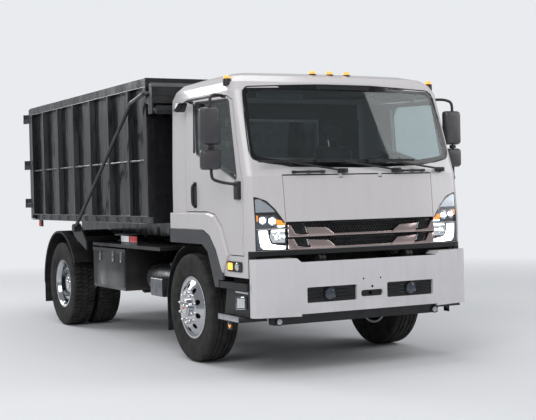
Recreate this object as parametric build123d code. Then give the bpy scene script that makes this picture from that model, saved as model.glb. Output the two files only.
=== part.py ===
"""Cab-over roll-off refuse truck with an open-top container on a hooklift hoist.

Millimetres. +Z up, the truck faces -Y, +X is its left side. Lengths along the truck are
worked out from the front axle and shifted at the end, so that the origin is the middle of
the truck's box, on the ground.
"""
import os
from math import cos, hypot, radians, sin

from build123d import *

# Running gear
WHEELBASE = 3861.0
TYRE_RADIUS = 518.0
TYRE_WIDTH = 279.0
RIM_RADIUS = 298.0
RIM_HALF_WIDTH = 118.0
DISC_OFFSET = 165.0
FRONT_WHEEL_X = 1023.0
REAR_OUTER_X = 1075.0
REAR_DISC_X = REAR_OUTER_X - DISC_OFFSET
REAR_INNER_X = REAR_DISC_X - DISC_OFFSET
KINGPIN_X = 900.0
HAND_HOLES = 10
HAND_HOLE_RADIUS = 26.0
HAND_HOLE_CIRCLE = 205.0
SPINDLE_RADIUS = 40.0
BRAKE_RADIUS = 203.0
FIT = 0.3
GAP = 6.0

# Ladder frame
FRAME_HALF_WIDTH = 430.0
FRAME_TOP = 960.0
RAIL_DEPTH = 240.0
RAIL_FLANGE = 80.0
RAIL_WALL = 8.0
FRAME_FRONT = -1130.0
REAR_OVERHANG = 1069.0
FRAME_REAR = WHEELBASE + REAR_OVERHANG
CROSSMEMBERS = (-1040.0, 1180.0, 1900.0, 2550.0, WHEELBASE - 531, WHEELBASE + 519, FRAME_REAR - 70)
SPRING_X = 470.0
SPRING_HALF = 700.0
FRONT_SPRING_Y = -30.0
HANGER_FOOT = FRAME_TOP - RAIL_DEPTH - 26
GEARBOX_REAR = 1110.0
AXLE_NOSE = 320.0
TOW_PLATE = 16.0
TOW_HOLES_X = 160.0
TOW_HOLES_Z = 100.0
TOW_HOLE_RADIUS = 10.5
TOW_SOCKET_RADIUS = 17.0
TOW_SOCKET_LENGTH = 86.0
TOW_SOCKET_Z = 683.5

# Mudguards
FENDER_RADIUS = 655.0
FENDER_INNER_X = 600.0
FENDER_OUTER_X = 1238.0
SKIN = 7.0

# Cab
CAB_HALF_WIDTH = 1140.0
CAB_FRONT = -1290.0
CAB_REAR = 460.0
CAB_WALL = 45.0
CAB_FLOOR_UNDER = 1140.0
CAB_FLOOR_THICKNESS = 40.0
FIREWALL_Y = -1130.0
CAB_SKIRT_BOTTOM = 860.0
FRONT_PANEL_BOTTOM = 1050.0
BELT_SEAM = 1745.0
GRILLE_TOP = 1335.0
GRILLE_BOTTOM = 1095.0
GRILLE_HALF_WIDTH = 780.0
LAMP_OUTER_X = 1078.0
LID_HALF_TOP = 790.0
LID_HALF_BOTTOM = 784.0
CAB_PIVOT_Y = CAB_FRONT - 10
CAB_PIVOT_Z = FRONT_PANEL_BOTTOM - 40
CAB_PIN_RADIUS = 16.0
CAB_EAR_RADIUS = 30.0
LID_TOP_GAP = 11.0
LID_HINGE_Y = CAB_FRONT + 52
LID_HINGE_Z = BELT_SEAM - 8
LID_HINGE_X = 210.0
LID_PIN_RADIUS = 5.0
ROOF_SPLIT = 2575.0
GLASS_RECESS = 8.0
GLASS_THICKNESS = 6.0

# Door outline, along the truck and up
DOOR_FRONT = -1135.0
DOOR_REAR = 85.0
DOOR_BOTTOM = 1048.0
DOOR_TOP = 2500.0
DOOR_SILL = 1430.0
DOOR_GAP = 8.5
DOOR_HINGE_X = CAB_HALF_WIDTH - 2
DOOR_HINGE_Y = DOOR_FRONT + 14
DOOR_HINGE_HEIGHTS = (1180.0, 1500.0)
DOOR_PIN_RADIUS = 5.0
MIRROR_X = 1317.0
MIRROR_Y = -880.0
WHEEL_X = 560.0

# Cab's plan at each height, with the bow of its front
CAB_SECTIONS = (
    # height, half width, front, rear, corner
    (CAB_SKIRT_BOTTOM, CAB_HALF_WIDTH, CAB_FRONT, CAB_REAR, 110.0),
    (GRILLE_TOP, CAB_HALF_WIDTH + 2, CAB_FRONT + 4, CAB_REAR, 110.0),
    (BELT_SEAM, CAB_HALF_WIDTH, CAB_FRONT + 42, CAB_REAR, 115.0),
    (1850.0, CAB_HALF_WIDTH - 2, CAB_FRONT + 80, CAB_REAR, 120.0),
    (2520.0, CAB_HALF_WIDTH - 18, CAB_FRONT + 303, CAB_REAR - 4, 125.0),
    (2600.0, CAB_HALF_WIDTH - 42, CAB_FRONT + 352, CAB_REAR - 50, 130.0),
    (2660.0, CAB_HALF_WIDTH - 95, CAB_FRONT + 430, CAB_REAR - 130, 140.0),
    (2700.0, CAB_HALF_WIDTH - 220, CAB_FRONT + 570, CAB_REAR - 300, 150.0),
)
FRONT_BOW = 46.0

# Openings of the cab: (y, z) on its sides, (x, z) on its front and rear
ARCH_POINTS = ((700.0, 700.0), (700.0, 1140.0), (-300.0, 1140.0), (-420.0, 1075.0), (-560.0, 700.0))
SCREEN_POINTS = ((-1058.0, 1890.0), (-700.0, 1822.0), (0.0, 1808.0), (700.0, 1822.0), (1058.0, 1890.0),
                 (1030.0, 2535.0), (0.0, 2562.0), (-1030.0, 2535.0))
WINDOW_POINTS = ((-1010.0, 1730.0), (-560.0, 1885.0), (-165.0, 1990.0), (-140.0, 2455.0), (-850.0, 2430.0))
DOOR_POINTS = (
    (DOOR_FRONT, DOOR_BOTTOM), (-845.0, DOOR_BOTTOM), (-700.0, 1305.0), (-560.0, 1405.0), (-400.0, DOOR_SILL),
    (DOOR_REAR, DOOR_SILL), (DOOR_REAR, 2420.0), (40.0, DOOR_TOP - 8), (-60.0, DOOR_TOP),
    (-820.0, DOOR_TOP - 20),
    (-905.0, 2440.0), (-1085.0, 1840.0), (DOOR_FRONT, 1700.0),
)
REAR_WINDOW = ((-520.0, 1960.0), (520.0, 1960.0), (520.0, 2330.0), (-520.0, 2330.0))
LAMP_POINTS = ((GRILLE_HALF_WIDTH, GRILLE_BOTTOM), (LAMP_OUTER_X, GRILLE_BOTTOM), (LAMP_OUTER_X, 1565.0),
               (1045.0, 1560.0), (960.0, 1530.0), (880.0, 1455.0), (832.0, 1388.0), (796.0, GRILLE_TOP),
               (GRILLE_HALF_WIDTH, GRILLE_TOP))

# Bumper
BUMPER_FRONT = -1400.0
BUMPER_END_Y = -1235.0
BUMPER_HALF_WIDTH = 1135.0
BUMPER_TOP = 990.0
BUMPER_END_TOP = 1025.0
BUMPER_BOTTOM = 540.0
BUMPER_WALL = 30.0

# Container
BOX_FRONT = 830.0
BOX_LENGTH = 4267.0
BOX_HALF_WIDTH = 1236.0
BOX_RAIL_BOTTOM = 1310.0
BOX_RAIL_HEIGHT = 75.0
BOX_TOP = 2795.0
TOP_RAIL_HEIGHT = 90.0
BOX_SHEET = 5.0
RIB_DEPTH = 62.0
RIB_WIDTH = 76.0
RIB_PITCH = 614.0
RIB_COUNT = 6
POST_LENGTH = 90.0
GATE_DEPTH = 84.0
SILL_HALF_SPACING = 520.0
SILL_BOTTOM = 1130.0
TIE_ROD_Z = 1960.0
TIE_ROD_RADIUS = 11.0
SHEET_X = BOX_HALF_WIDTH - RIB_DEPTH
BOX_REAR = BOX_FRONT + BOX_LENGTH - GATE_DEPTH
RAIL_TOP = BOX_RAIL_BOTTOM + BOX_RAIL_HEIGHT
TOP_RAIL_BOTTOM = BOX_TOP - TOP_RAIL_HEIGHT
GATE_HINGE_X = BOX_HALF_WIDTH + 28
GATE_HINGE_Y = BOX_FRONT + BOX_LENGTH + 68.0
GATE_EAR_RADIUS = 22.0
HINGE_EARS = (1530.0, 2040.0, 2660.0)
HINGE_PIN_RADIUS = 11.0
HINGE_PLAY = 1.0

# Hoist
HOIST_PIVOT_SETBACK = 180.0
HOIST_PIVOT_Y = FRAME_REAR - HOIST_PIVOT_SETBACK
HOIST_PIVOT_Z = 1020.0
SUBFRAME_TOP = 1060.0
TILT_BEAM_BOTTOM = 1070.0
TILT_BEAM_TOP = 1170.0
TILT_BEAM_X = 285.0
TILT_BEAM_WIDTH = 80.0
REST_PLACES = (1540.0, 2640.0, HOIST_PIVOT_Y - 410)
MAST_FRONT = 640.0
MAST_DEPTH = 100.0
HOOK_BAR_RADIUS = 24.0
MAST_HALF_WIDTH = 130.0
HOOK_BAR_Y = 765.0
HOOK_BAR_Z = 2225.0
CYLINDER_X = 190.0
CYLINDER_BASE = (1300.0, 900.0)
CYLINDER_EYE = (4100.0, 1080.0)
CYLINDER_RADIUS = 52.0
ROD_RADIUS = 30.0
BARREL_LENGTH = 2050.0
ROD_START = 1600.0

# Tarp gear
ARM_X = BOX_HALF_WIDTH + 84
ARM_PIVOT_Y = 2950.0
ARM_PIVOT_Z = 1235.0
ARM_BEND_Y = 1030.0
ARM_BEND_Z = 2553.0
BOW_Y = 660.0
BOW_Z = 2620.0
ARM_RADIUS = 20.0
GANTRY_Y = 535.0
GANTRY_POST_X = 390.0
GANTRY_POST_Y = 625.0
GANTRY_BEAM_LOW = 2515.0
GANTRY_BEAM_TOP = 2590.0
GANTRY_HALF_WIDTH = BOX_HALF_WIDTH + 54
END_PLATE = 16.0
ROLL_Y = 576.0
ROLL_Z = 2455.0
ROLL_RADIUS = 45.0

# The box round the whole truck, and the shift that centres it
FRONT_END = BUMPER_FRONT
REAR_END = GATE_HINGE_Y + GATE_EAR_RADIUS
SHIFT_Y = -(FRONT_END + REAR_END) / 2

BOTH_SIDES = (-1, 1)


def block(x0, x1, y0, y1, z0, z1):
    """Box between two corners."""
    size = (abs(x1 - x0), abs(y1 - y0), abs(z1 - z0))
    return Pos((x0 + x1) / 2, (y0 + y1) / 2, (z0 + z1) / 2) * Box(*size)


def outline(points, radius=0.0):
    """Closed flat face through points, its corners rounded by radius."""
    face = make_face(Polyline(*points, close=True))
    if radius:
        face = fillet(face.vertices(), radius)
    return face


def prism_x(points, x0, x1, radius=0.0):
    """Outline in (y, z) drawn out from x0 to x1."""
    low, high = min(x0, x1), max(x0, x1)
    plane = Plane(origin=(low, 0, 0), x_dir=(0, 1, 0), z_dir=(1, 0, 0))
    return extrude(plane * outline(points, radius), high - low)


def prism_y(points, y0, y1, radius=0.0):
    """Outline in (x, z) drawn out from y0 to y1."""
    low, high = min(y0, y1), max(y0, y1)
    plane = Plane(origin=(0, high, 0), x_dir=(1, 0, 0), z_dir=(0, -1, 0))
    return extrude(plane * outline(points, radius), high - low)


def prism_z(points, z0, z1, radius=0.0):
    """Outline in (x, y) drawn out from z0 to z1."""
    return extrude(Pos(0, 0, min(z0, z1)) * outline(points, radius), abs(z1 - z0))


def bar(start, end, radius):
    """Round bar between two points."""
    a, b = Vector(*start), Vector(*end)
    plane = Plane(origin=a, z_dir=b - a)
    return extrude(plane * Circle(radius), (b - a).length)


def pipe(points, radius, bend):
    """Round tube along straight runs joined by bends of one radius."""
    path = FilletPolyline(*points, radius=bend)
    section = Plane(origin=path @ 0, z_dir=path % 0) * Circle(radius)
    return sweep(section, path=path)


def across(radius, x0, x1, y, z):
    """Round bar along the truck's width."""
    return bar((min(x0, x1), y, z), (max(x0, x1), y, z), radius)


def turned(profile):
    """Closed profile of (width, radius) points turned about the X axis."""
    plane = Plane(origin=(0, 0, 0), x_dir=(1, 0, 0), z_dir=(0, -1, 0))
    return revolve(plane * outline(profile), axis=Axis.X)


def other_side(shape):
    """The same piece on the truck's other side."""
    return mirror(shape, about=Plane.YZ)


def fuse(pieces):
    """One shape from several that touch."""
    whole = pieces[0]
    for piece in pieces[1:]:
        whole += piece
    return whole


def both(shape):
    """A piece on the left side and its mirror image on the right."""
    return Compound(children=[*shape.solids(), *other_side(shape).solids()])


def group(shapes):
    """Separate solids of one node."""
    return Compound(children=[solid for shape in shapes for solid in shape.solids()])


# Wheels


def tyre():
    """Tyre with rounded shoulders and sidewalls that bulge past the rim."""
    half = TYRE_WIDTH / 2
    profile = [
        (-RIM_HALF_WIDTH + 13.5, RIM_RADIUS - 16),
        (-RIM_HALF_WIDTH + 13.5, RIM_RADIUS + 4),
        (-half, RIM_RADIUS + 78),
        (-half, RIM_RADIUS + 132),
        (-half + 16, TYRE_RADIUS - 14),
        (-half + 34, TYRE_RADIUS),
        (half - 34, TYRE_RADIUS),
        (half - 16, TYRE_RADIUS - 14),
        (half, RIM_RADIUS + 132),
        (half, RIM_RADIUS + 78),
        (RIM_HALF_WIDTH - 13.5, RIM_RADIUS + 4),
        (RIM_HALF_WIDTH - 13.5, RIM_RADIUS - 16),
    ]
    return turned(profile)


def rim():
    """Disc wheel: dropped barrel, bulged disc towards +X with a ring of hand holes."""
    w = RIM_HALF_WIDTH
    r = RIM_RADIUS
    face = DISC_OFFSET
    profile = [
        (-w, r), (-w + 13, r), (-w + 13.2, r - 16.3), (-w + 50, r - 36), (w - 50, r - 36),
        (w - 13.2, r - 16.3), (w - 13, r), (w, r), (w, r - 20), (w - 6, r - 40),
        (w + 22, 225), (face, 182), (face, SPINDLE_RADIUS + 35), (face - 22, SPINDLE_RADIUS + 35),
        (face - 22, 176), (w, 212), (w - 40, r - 48), (-w + 50, r - 48), (-w + 12, r - 30), (-w, r - 20),
    ]
    wheel = turned(profile)
    hole = Pos(w + 15, 0, HAND_HOLE_CIRCLE) * Rot(0, 90, 0) * Cylinder(HAND_HOLE_RADIUS, 110)
    for turn in range(HAND_HOLES):
        wheel -= Rot(360 / HAND_HOLES * turn, 0, 0) * hole
    return wheel


def front_hub():
    """Front hub: flange behind the disc, cap outside it, bored for the spindle."""
    face = DISC_OFFSET
    profile = [
        (face - 47, SPINDLE_RADIUS + FIT), (face - 47, 120), (face - 22, 120),
        (face - 22, SPINDLE_RADIUS + 35), (face, SPINDLE_RADIUS + 35), (face, 84),
        (face + 26, 84), (face + 34, 74), (face + 34, 0), (face + 14, 0), (face + 14, SPINDLE_RADIUS + FIT),
    ]
    return turned(profile)


def rear_hub(reach):
    """Rear drive hub, from the joined discs out to near the outer rim's face."""
    profile = [
        (-47, SPINDLE_RADIUS + FIT), (-47, 120), (-22, 120), (-22, SPINDLE_RADIUS + 35),
        (22, SPINDLE_RADIUS + 35),
        (22, 112), (60, 108), (reach - 45, 94), (reach - 25, 88), (reach - 25, 118), (reach - 8, 118),
        (reach, 100), (reach, 0), (30, 0), (30, SPINDLE_RADIUS + FIT),
    ]
    return turned(profile)


def front_wheel():
    """Front rim with its hub, and its tyre, on the left side."""
    place = Pos(FRONT_WHEEL_X, 0, TYRE_RADIUS)
    return place * (rim() + front_hub()), place * tyre()


def rear_wheel():
    """Rear twin rims bolted disc to disc, and their two tyres, on the left side."""
    outer = Pos(REAR_OUTER_X, WHEELBASE, TYRE_RADIUS) * mirror(rim(), about=Plane.YZ)
    inner = Pos(REAR_INNER_X, WHEELBASE, TYRE_RADIUS) * rim()
    hub = Pos(REAR_DISC_X, WHEELBASE, TYRE_RADIUS) * rear_hub(REAR_OUTER_X - REAR_DISC_X + 60)
    tyres = [Pos(x, WHEELBASE, TYRE_RADIUS) * tyre() for x in (REAR_INNER_X, REAR_OUTER_X)]
    return outer + inner + hub, group(tyres)


def knuckle():
    """Left steering knuckle: yoke round the axle's eye, spindle and brake."""
    centre = TYRE_RADIUS
    inboard = KINGPIN_X + 50
    plan = [(KINGPIN_X - 46, -44), (inboard, -60), (inboard, 60), (KINGPIN_X - 46, 44)]
    ear_low = prism_z(plan, centre - 115, centre - 72)
    ear_high = Pos(0, 0, 187) * ear_low
    plate = block(inboard - 4, inboard + 20, -75, 75, centre - 115, centre + 115)
    pin = bar((KINGPIN_X, 0, centre - 115), (KINGPIN_X, 0, centre + 115), 20)
    brake_end = FRONT_WHEEL_X + 75
    brake = across(BRAKE_RADIUS, inboard + 12, brake_end, 0, centre)
    spindle = across(SPINDLE_RADIUS, brake_end - 5, FRONT_WHEEL_X + DISC_OFFSET + 12, 0, centre)
    return fuse([ear_low, ear_high, plate, pin, brake, spindle])


# Axles and springs


def leaf_pack(y_mid, z_mid, half_length, rise, thickness, width):
    """Bowed stack of leaves under one rail."""
    ends = z_mid + rise
    lower = [(y_mid - half_length, ends), (y_mid - half_length * 0.5, z_mid + rise * 0.28), (y_mid, z_mid),
             (y_mid + half_length * 0.5, z_mid + rise * 0.28), (y_mid + half_length, ends)]
    tips = thickness * 0.35
    upper = [(y_mid + half_length, ends + tips),
             (y_mid + half_length * 0.5, z_mid + rise * 0.28 + thickness * 0.7),
             (y_mid, z_mid + thickness), (y_mid - half_length * 0.5, z_mid + rise * 0.28 + thickness * 0.7),
             (y_mid - half_length, ends + tips)]
    return prism_x(lower + upper, SPRING_X - width / 2, SPRING_X + width / 2)


def front_axle():
    """Dropped beam axle with kingpin eyes, and its two leaf springs."""
    z = TYRE_RADIUS
    half = KINGPIN_X
    beam = prism_y([(-half, z - 45), (-620, z - 45), (-540, z - 95), (540, z - 95), (620, z - 45),
                    (half, z - 45),
                    (half, z + 45), (600, z + 45), (520, z - 5), (-520, z - 5), (-600, z + 45),
                    (-half, z + 45)], -45, 45)
    axle = beam
    for side in BOTH_SIDES:
        axle += bar((side * half, 0, z - 66), (side * half, 0, z + 66), 46)
    for side in BOTH_SIDES:
        axle -= bar((side * half, 0, z - 70), (side * half, 0, z + 70), 20 + FIT)
    pad_top = 590.0
    pad = block(SPRING_X - 55, SPRING_X + 55, -70, 70, z - 30, pad_top + 14)
    pack = leaf_pack(FRONT_SPRING_Y, pad_top, SPRING_HALF, HANGER_FOOT - FIT - 48 * 0.35 - pad_top, 48, 75)
    clamp = block(SPRING_X - 50, SPRING_X + 50, -60, 60, pad_top + 40, pad_top + 62)
    side_set = pad + pack + clamp
    return axle + side_set + other_side(side_set)


def rear_axle():
    """Banjo housing with tubes, brakes, spindles and leaf springs."""
    z = TYRE_RADIUS
    y = WHEELBASE
    bulge = [(-175, 0), (-175, 110), (-105, 188), (105, 188), (175, 110), (175, 0)]
    housing = Pos(0, y, z) * turned(bulge)
    housing += bar((0, y - AXLE_NOSE, z + 10), (0, y - 150, z + 10), 85)
    housing += prism_y([(-560, z - 62), (-330, z - 90), (-150, z - 150), (150, z - 150), (330, z - 90),
                        (560, z - 62),
                        (560, z + 62), (330, z + 90), (150, z + 150), (-150, z + 150), (-330, z + 90),
                        (-560, z + 62)],
                       y - 65, y + 65)
    disc = REAR_DISC_X
    end = fuse([
        across(60, 540, 640, y, z),
        across(BRAKE_RADIUS, 622, disc - 72, y, z),
        across(SPINDLE_RADIUS, disc - 80, disc + 26, y, z),
        block(SPRING_X - 60, SPRING_X + 60, y - 85, y + 85, z + 40, z + 118),
        leaf_pack(y, z + 104, SPRING_HALF, HANGER_FOOT - FIT - 62 * 0.35 - z - 104, 62, 80),
        block(SPRING_X - 52, SPRING_X + 52, y - 80, y + 80, z + 160, z + 184),
    ])
    return housing + end + other_side(end)


def drive_shaft():
    """Tubular shaft from the gearbox to the axle's nose, with flange yokes."""
    start = (0, GEARBOX_REAR - 20, 640)
    end = (0, WHEELBASE - AXLE_NOSE + 20, TYRE_RADIUS + 10)
    line = Vector(*end) - Vector(*start)
    unit = line.normalized()
    tube = bar(start, end, 48)
    mid = Vector(*start) + line * 0.45
    joints = [bar(start, tuple(Vector(*start) + unit * 65), 78)]
    joints.append(bar(tuple(Vector(*end) - unit * 65), end, 78))
    joints.append(bar(tuple(mid), tuple(mid + unit * 70), 75))
    shaft = fuse([tube, *joints])
    shaft -= block(-100, 100, 0, GEARBOX_REAR + FIT, 0, 1000)
    return shaft - block(-100, 100, WHEELBASE - AXLE_NOSE - FIT, WHEELBASE, 0, 1000)


# Chassis


def chassis_frame():
    """Ladder frame: two channel rails, crossmembers, spring hangers and cab hinge brackets."""
    low = FRAME_TOP - RAIL_DEPTH
    outer = block(FRAME_HALF_WIDTH - RAIL_FLANGE, FRAME_HALF_WIDTH, FRAME_FRONT, FRAME_REAR, low, FRAME_TOP)
    hollow = block(FRAME_HALF_WIDTH - RAIL_FLANGE - 1, FRAME_HALF_WIDTH - RAIL_WALL, FRAME_FRONT - 1,
                   FRAME_REAR + 1,
                   low + RAIL_WALL, FRAME_TOP - RAIL_WALL)
    rail = outer - hollow
    frame = rail + other_side(rail)
    inner = FRAME_HALF_WIDTH - RAIL_WALL
    for y in CROSSMEMBERS:
        member = block(-inner, inner, y - 40, y + 40, low + RAIL_WALL, low + 110)
        frame += member - block(-inner, inner, y - 32, y + 50, low + 18, low + 100)
    half = 60
    for middle in (FRONT_SPRING_Y, WHEELBASE):
        for y in (middle - SPRING_HALF, middle + SPRING_HALF):
            hanger = block(FRAME_HALF_WIDTH, SPRING_X + 45, y - half, y + half, low, low + 150)
            hanger += prism_x([(y - half, low), (y + half, low), (y + 22, HANGER_FOOT), (y - 22, HANGER_FOOT)],
                              FRAME_HALF_WIDTH, SPRING_X + 45)
            frame += hanger + other_side(hanger)
    ear = prism_x([(FRAME_FRONT, FRAME_TOP - 160), (FRAME_FRONT + 150, FRAME_TOP - 160),
                   (FRAME_FRONT + 150, FRAME_TOP),
                   (FRAME_FRONT - 20, CAB_PIVOT_Z - 5), (CAB_PIVOT_Y, CAB_PIVOT_Z + CAB_EAR_RADIUS),
                   (CAB_PIVOT_Y - 10, CAB_PIVOT_Z - 28)], FRAME_HALF_WIDTH, FRAME_HALF_WIDTH + 30)
    ear += across(CAB_EAR_RADIUS, FRAME_HALF_WIDTH, FRAME_HALF_WIDTH + 30, CAB_PIVOT_Y, CAB_PIVOT_Z)
    ear -= across(CAB_PIN_RADIUS + FIT, FRAME_HALF_WIDTH - 1, FRAME_HALF_WIDTH + 31, CAB_PIVOT_Y, CAB_PIVOT_Z)
    frame += ear + other_side(ear)
    tie = across(38, -FRAME_HALF_WIDTH - 15, FRAME_HALF_WIDTH + 15, FRAME_FRONT + 40, FRAME_TOP - 60)
    plate = block(-inner, inner, FRAME_REAR - TOW_PLATE, FRAME_REAR, low + RAIL_WALL, FRAME_TOP - RAIL_WALL)
    for x in (-TOW_HOLES_X / 2, TOW_HOLES_X / 2):
        for z in (-TOW_HOLES_Z / 2, TOW_HOLES_Z / 2):
            centre = low + RAIL_DEPTH / 2 + z
            plate -= bar((x, FRAME_REAR - 2 * TOW_PLATE, centre), (x, FRAME_REAR + 1, centre), TOW_HOLE_RADIUS)
    return frame + tie + plate


def bumper_plan(offset):
    """Bumper's outline in plan, drawn in by offset from its outer face."""
    o = offset
    w = BUMPER_HALF_WIDTH - o
    front = BUMPER_FRONT + o
    side = BUMPER_END_Y + o
    half = [(0, front), (690, front + 4), (1010, front + 82), (w - 28, side - 55), (w, side - 20),
            (w, side + 150)]
    return half + [(-x, y) for x, y in reversed(half[1:])]


def front_bumper():
    """One-piece bumper with raised ends, lamp slots and a slot in front of the tow socket."""
    rear = BUMPER_END_Y + 20
    shell = prism_z(bumper_plan(0), BUMPER_BOTTOM - 20, BUMPER_END_TOP)
    shell -= prism_z(bumper_plan(BUMPER_WALL), BUMPER_BOTTOM - 30, BUMPER_END_TOP - BUMPER_WALL)
    shell -= block(-2000, 2000, rear, 0, 0, 2000)
    step = 38
    shell -= prism_y([(-755, BUMPER_END_TOP + 1), (-715, BUMPER_TOP), (715, BUMPER_TOP),
                      (755, BUMPER_END_TOP + 1)],
                     BUMPER_FRONT - 10, rear + 10)
    shell -= prism_y([(-760, 0), (-720, BUMPER_BOTTOM), (720, BUMPER_BOTTOM), (760, 0)], BUMPER_FRONT - 10,
                     rear + 10)
    lip = block(-720, 720, BUMPER_FRONT + 12, BUMPER_FRONT + 50, BUMPER_TOP - step, BUMPER_TOP - step + 20)
    shell += lip
    for side in BOTH_SIDES:
        slot = [(side * 160, 632), (side * 668, 632), (side * 668, 768), (side * 160, 768)]
        shell -= prism_y(slot, BUMPER_FRONT - 10, BUMPER_FRONT + 80, 14)
    shell -= prism_y([(-118, 655), (118, 655), (118, 712), (-118, 712)], BUMPER_FRONT - 10,
                     BUMPER_FRONT + 80, 24)
    return shell


def front_underrun():
    """Black beam under and behind the bumper, its stays, the backing of the slots and the tow socket."""
    y = BUMPER_FRONT + BUMPER_WALL + FIT
    backing = block(-690, 690, y + 4, y + 22, 600, 800)
    beam = prism_x([(y + 200, 430), (y + 300, 430), (y + 320, 512), (y + 192, 512)], -880, 880)
    stay = prism_x([(y + 21, 560), (y + 21, 800), (y + 60, 850), (FRAME_FRONT, 850), (FRAME_FRONT, 700),
                    (y + 310, 505),
                    (y + 200, 505)], FRAME_HALF_WIDTH - 60, FRAME_HALF_WIDTH - 2)
    start = y + 4
    end = start + TOW_SOCKET_LENGTH
    socket = bar((0, start, TOW_SOCKET_Z), (0, end, TOW_SOCKET_Z), 2 * TOW_SOCKET_RADIUS)
    tie = block(-FRAME_HALF_WIDTH + 3, FRAME_HALF_WIDTH - 3, start + 30, end - 16, TOW_SOCKET_Z - 26,
                TOW_SOCKET_Z + 26)
    front = fuse([backing, beam, stay, other_side(stay), tie, socket])
    return front - bar((0, start - 1, TOW_SOCKET_Z), (0, end + 1, TOW_SOCKET_Z), TOW_SOCKET_RADIUS)


def engine_gearbox():
    """Engine, gearbox and radiator as plain blocks at their real places."""
    engine = block(-290, 290, -900, 230, 640, 1120)
    sump = block(-170, 170, -820, 150, 600, 640)
    box = prism_x([(230, 600), (650, 570), (GEARBOX_REAR, 560), (GEARBOX_REAR, 718), (700, 840),
                   (230, 930)], -200, 200)
    radiator = block(-320, 320, -985, -925, 700, 1120)
    shroud = block(-200, 200, -930, -890, 740, 1080)
    reach = FRAME_HALF_WIDTH - RAIL_WALL
    mounts = block(-reach, reach, -500, -420, 760, 800)
    support = block(-reach, reach, 610, 660, 735, 790)
    return fuse([engine, sump, box, radiator, shroud, mounts, support])


def fuel_tank():
    """Rounded tank on two brackets, left side behind the cab."""
    tank = prism_x([(900, 540), (2150, 540), (2150, 1000), (900, 1000)], 560, 1120)
    tank = fillet(tank.edges().filter_by(Axis.Y), 80)
    cap = bar((1060, 1100, 990), (1060, 1100, 1030), 45)
    brackets = [block(FRAME_HALF_WIDTH + FIT, 575, y - 30, y + 30, 600, 930) for y in (1150, 1900)]
    return fuse([tank, cap, *brackets])


def side_tool_box():
    """Black tool and hydraulic oil box on the right, under a long deck plate, with its lid's lip."""
    outer, inner = -1150.0, -600.0
    box = block(inner, outer, 1765, 2805, 556, 1000)
    lip = block(inner, outer - 6, 1755, 2815, 980, 1012)
    deck = block(inner + 100, outer, 760, 2820, 1030, 1066)
    deck += block(outer + 60, outer + 90, 1800, 1840, 1005, 1040) + block(outer + 60, outer + 90, 2700,
                                                                          2740, 1005, 1040)
    brackets = [block(-FRAME_HALF_WIDTH - FIT, inner - 10, y - 35, y + 35, 720, 900) for y in (1950, 2600)]
    arms = [block(-FRAME_HALF_WIDTH - FIT, inner + 20, y - 30, y + 30, 930, 1030.5) for y in (850, 1500, 2300)]
    arms += [block(-FRAME_HALF_WIDTH - FIT, inner - 60, y - 30, y + 30, 1000, 1040) for y in (850, 1500, 2300)]
    return fuse([box, lip, deck, *brackets, *arms])


def exhaust_canister():
    """Exhaust after-treatment canister with heat shield and tail pipe, right side."""
    can = bar((-800, 800, 700), (-800, 1640, 700), 150)
    shield = prism_x([(800, 556), (1110, 556), (1110, 745), (800, 745)], -1120, -800)
    shield = fillet(shield.edges().filter_by(Axis.Y), 20)
    hanger = [block(-FRAME_HALF_WIDTH - FIT, -700, y - 25, y + 25, 780, 860) for y in (900, 1500)]
    tail = pipe([(-720, 1560, 700), (-720, 1650, 690), (-532, 1700, 640), (-532, 2950, 620)], 45, 50)
    return fuse([can, shield, *hanger, tail])


def air_tanks():
    """Two air reservoirs on the left, ahead of the rear wheel."""
    tanks = [bar((x, 2300, z), (x, 2980, z), 115) for x, z in ((720, 640), (970, 640))]
    cradle = [block(FRAME_HALF_WIDTH + FIT, 1040, y - 15, y + 15, 740, 800) for y in (2450, 2820)]
    return fuse([*tanks, *cradle])


def arc_band(centre_y, centre_z, radius, thickness, from_deg, to_deg, x0, x1):
    """Bent sheet about the wheel's centre, between two angles from the rear horizontal."""
    def at(r, a):
        return (centre_y + r * cos(radians(a)), centre_z + r * sin(radians(a)))
    middle = (from_deg + to_deg) / 2
    outer = radius + thickness
    line = ThreePointArc(at(radius, from_deg), at(radius, middle), at(radius, to_deg))
    line += Line(at(radius, to_deg), at(outer, to_deg))
    line += ThreePointArc(at(outer, to_deg), at(outer, middle), at(outer, from_deg))
    line += Line(at(outer, from_deg), at(radius, from_deg))
    plane = Plane(origin=(min(x0, x1), 0, 0), x_dir=(0, 1, 0), z_dir=(1, 0, 0))
    return extrude(plane * make_face(line), abs(x1 - x0))


def rear_fenders():
    """Half-round mudguards over the rear twins, rolled outer edge, flap and brackets."""
    y, z = WHEELBASE, TYRE_RADIUS
    guard = arc_band(y, z, FENDER_RADIUS, SKIN, -2, 154, FENDER_INNER_X, FENDER_OUTER_X)
    rolled = arc_band(y, z, FENDER_RADIUS - 18, 18 + SKIN, -2, 154, FENDER_OUTER_X - 14, FENDER_OUTER_X)
    flap = block(FENDER_INNER_X, FENDER_OUTER_X - 6, y + FENDER_RADIUS - 3, y + FENDER_RADIUS + 5, 245, z)
    pieces = [guard, rolled, flap]
    for angle in (25, 130):
        at_y = y + (FENDER_RADIUS - 20) * cos(radians(angle))
        at_z = z + (FENDER_RADIUS - 20) * sin(radians(angle))
        drop = min(at_z, FRAME_TOP - 40)
        pieces.append(bar((FRAME_HALF_WIDTH + FIT, at_y, drop), (FENDER_INNER_X + 40, at_y, drop), 24))
        pieces.append(bar((FENDER_INNER_X + 22, at_y, drop), (FENDER_INNER_X + 22, at_y, at_z + 24), 24))
    side_set = fuse(pieces)
    return side_set, other_side(side_set)


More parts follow.
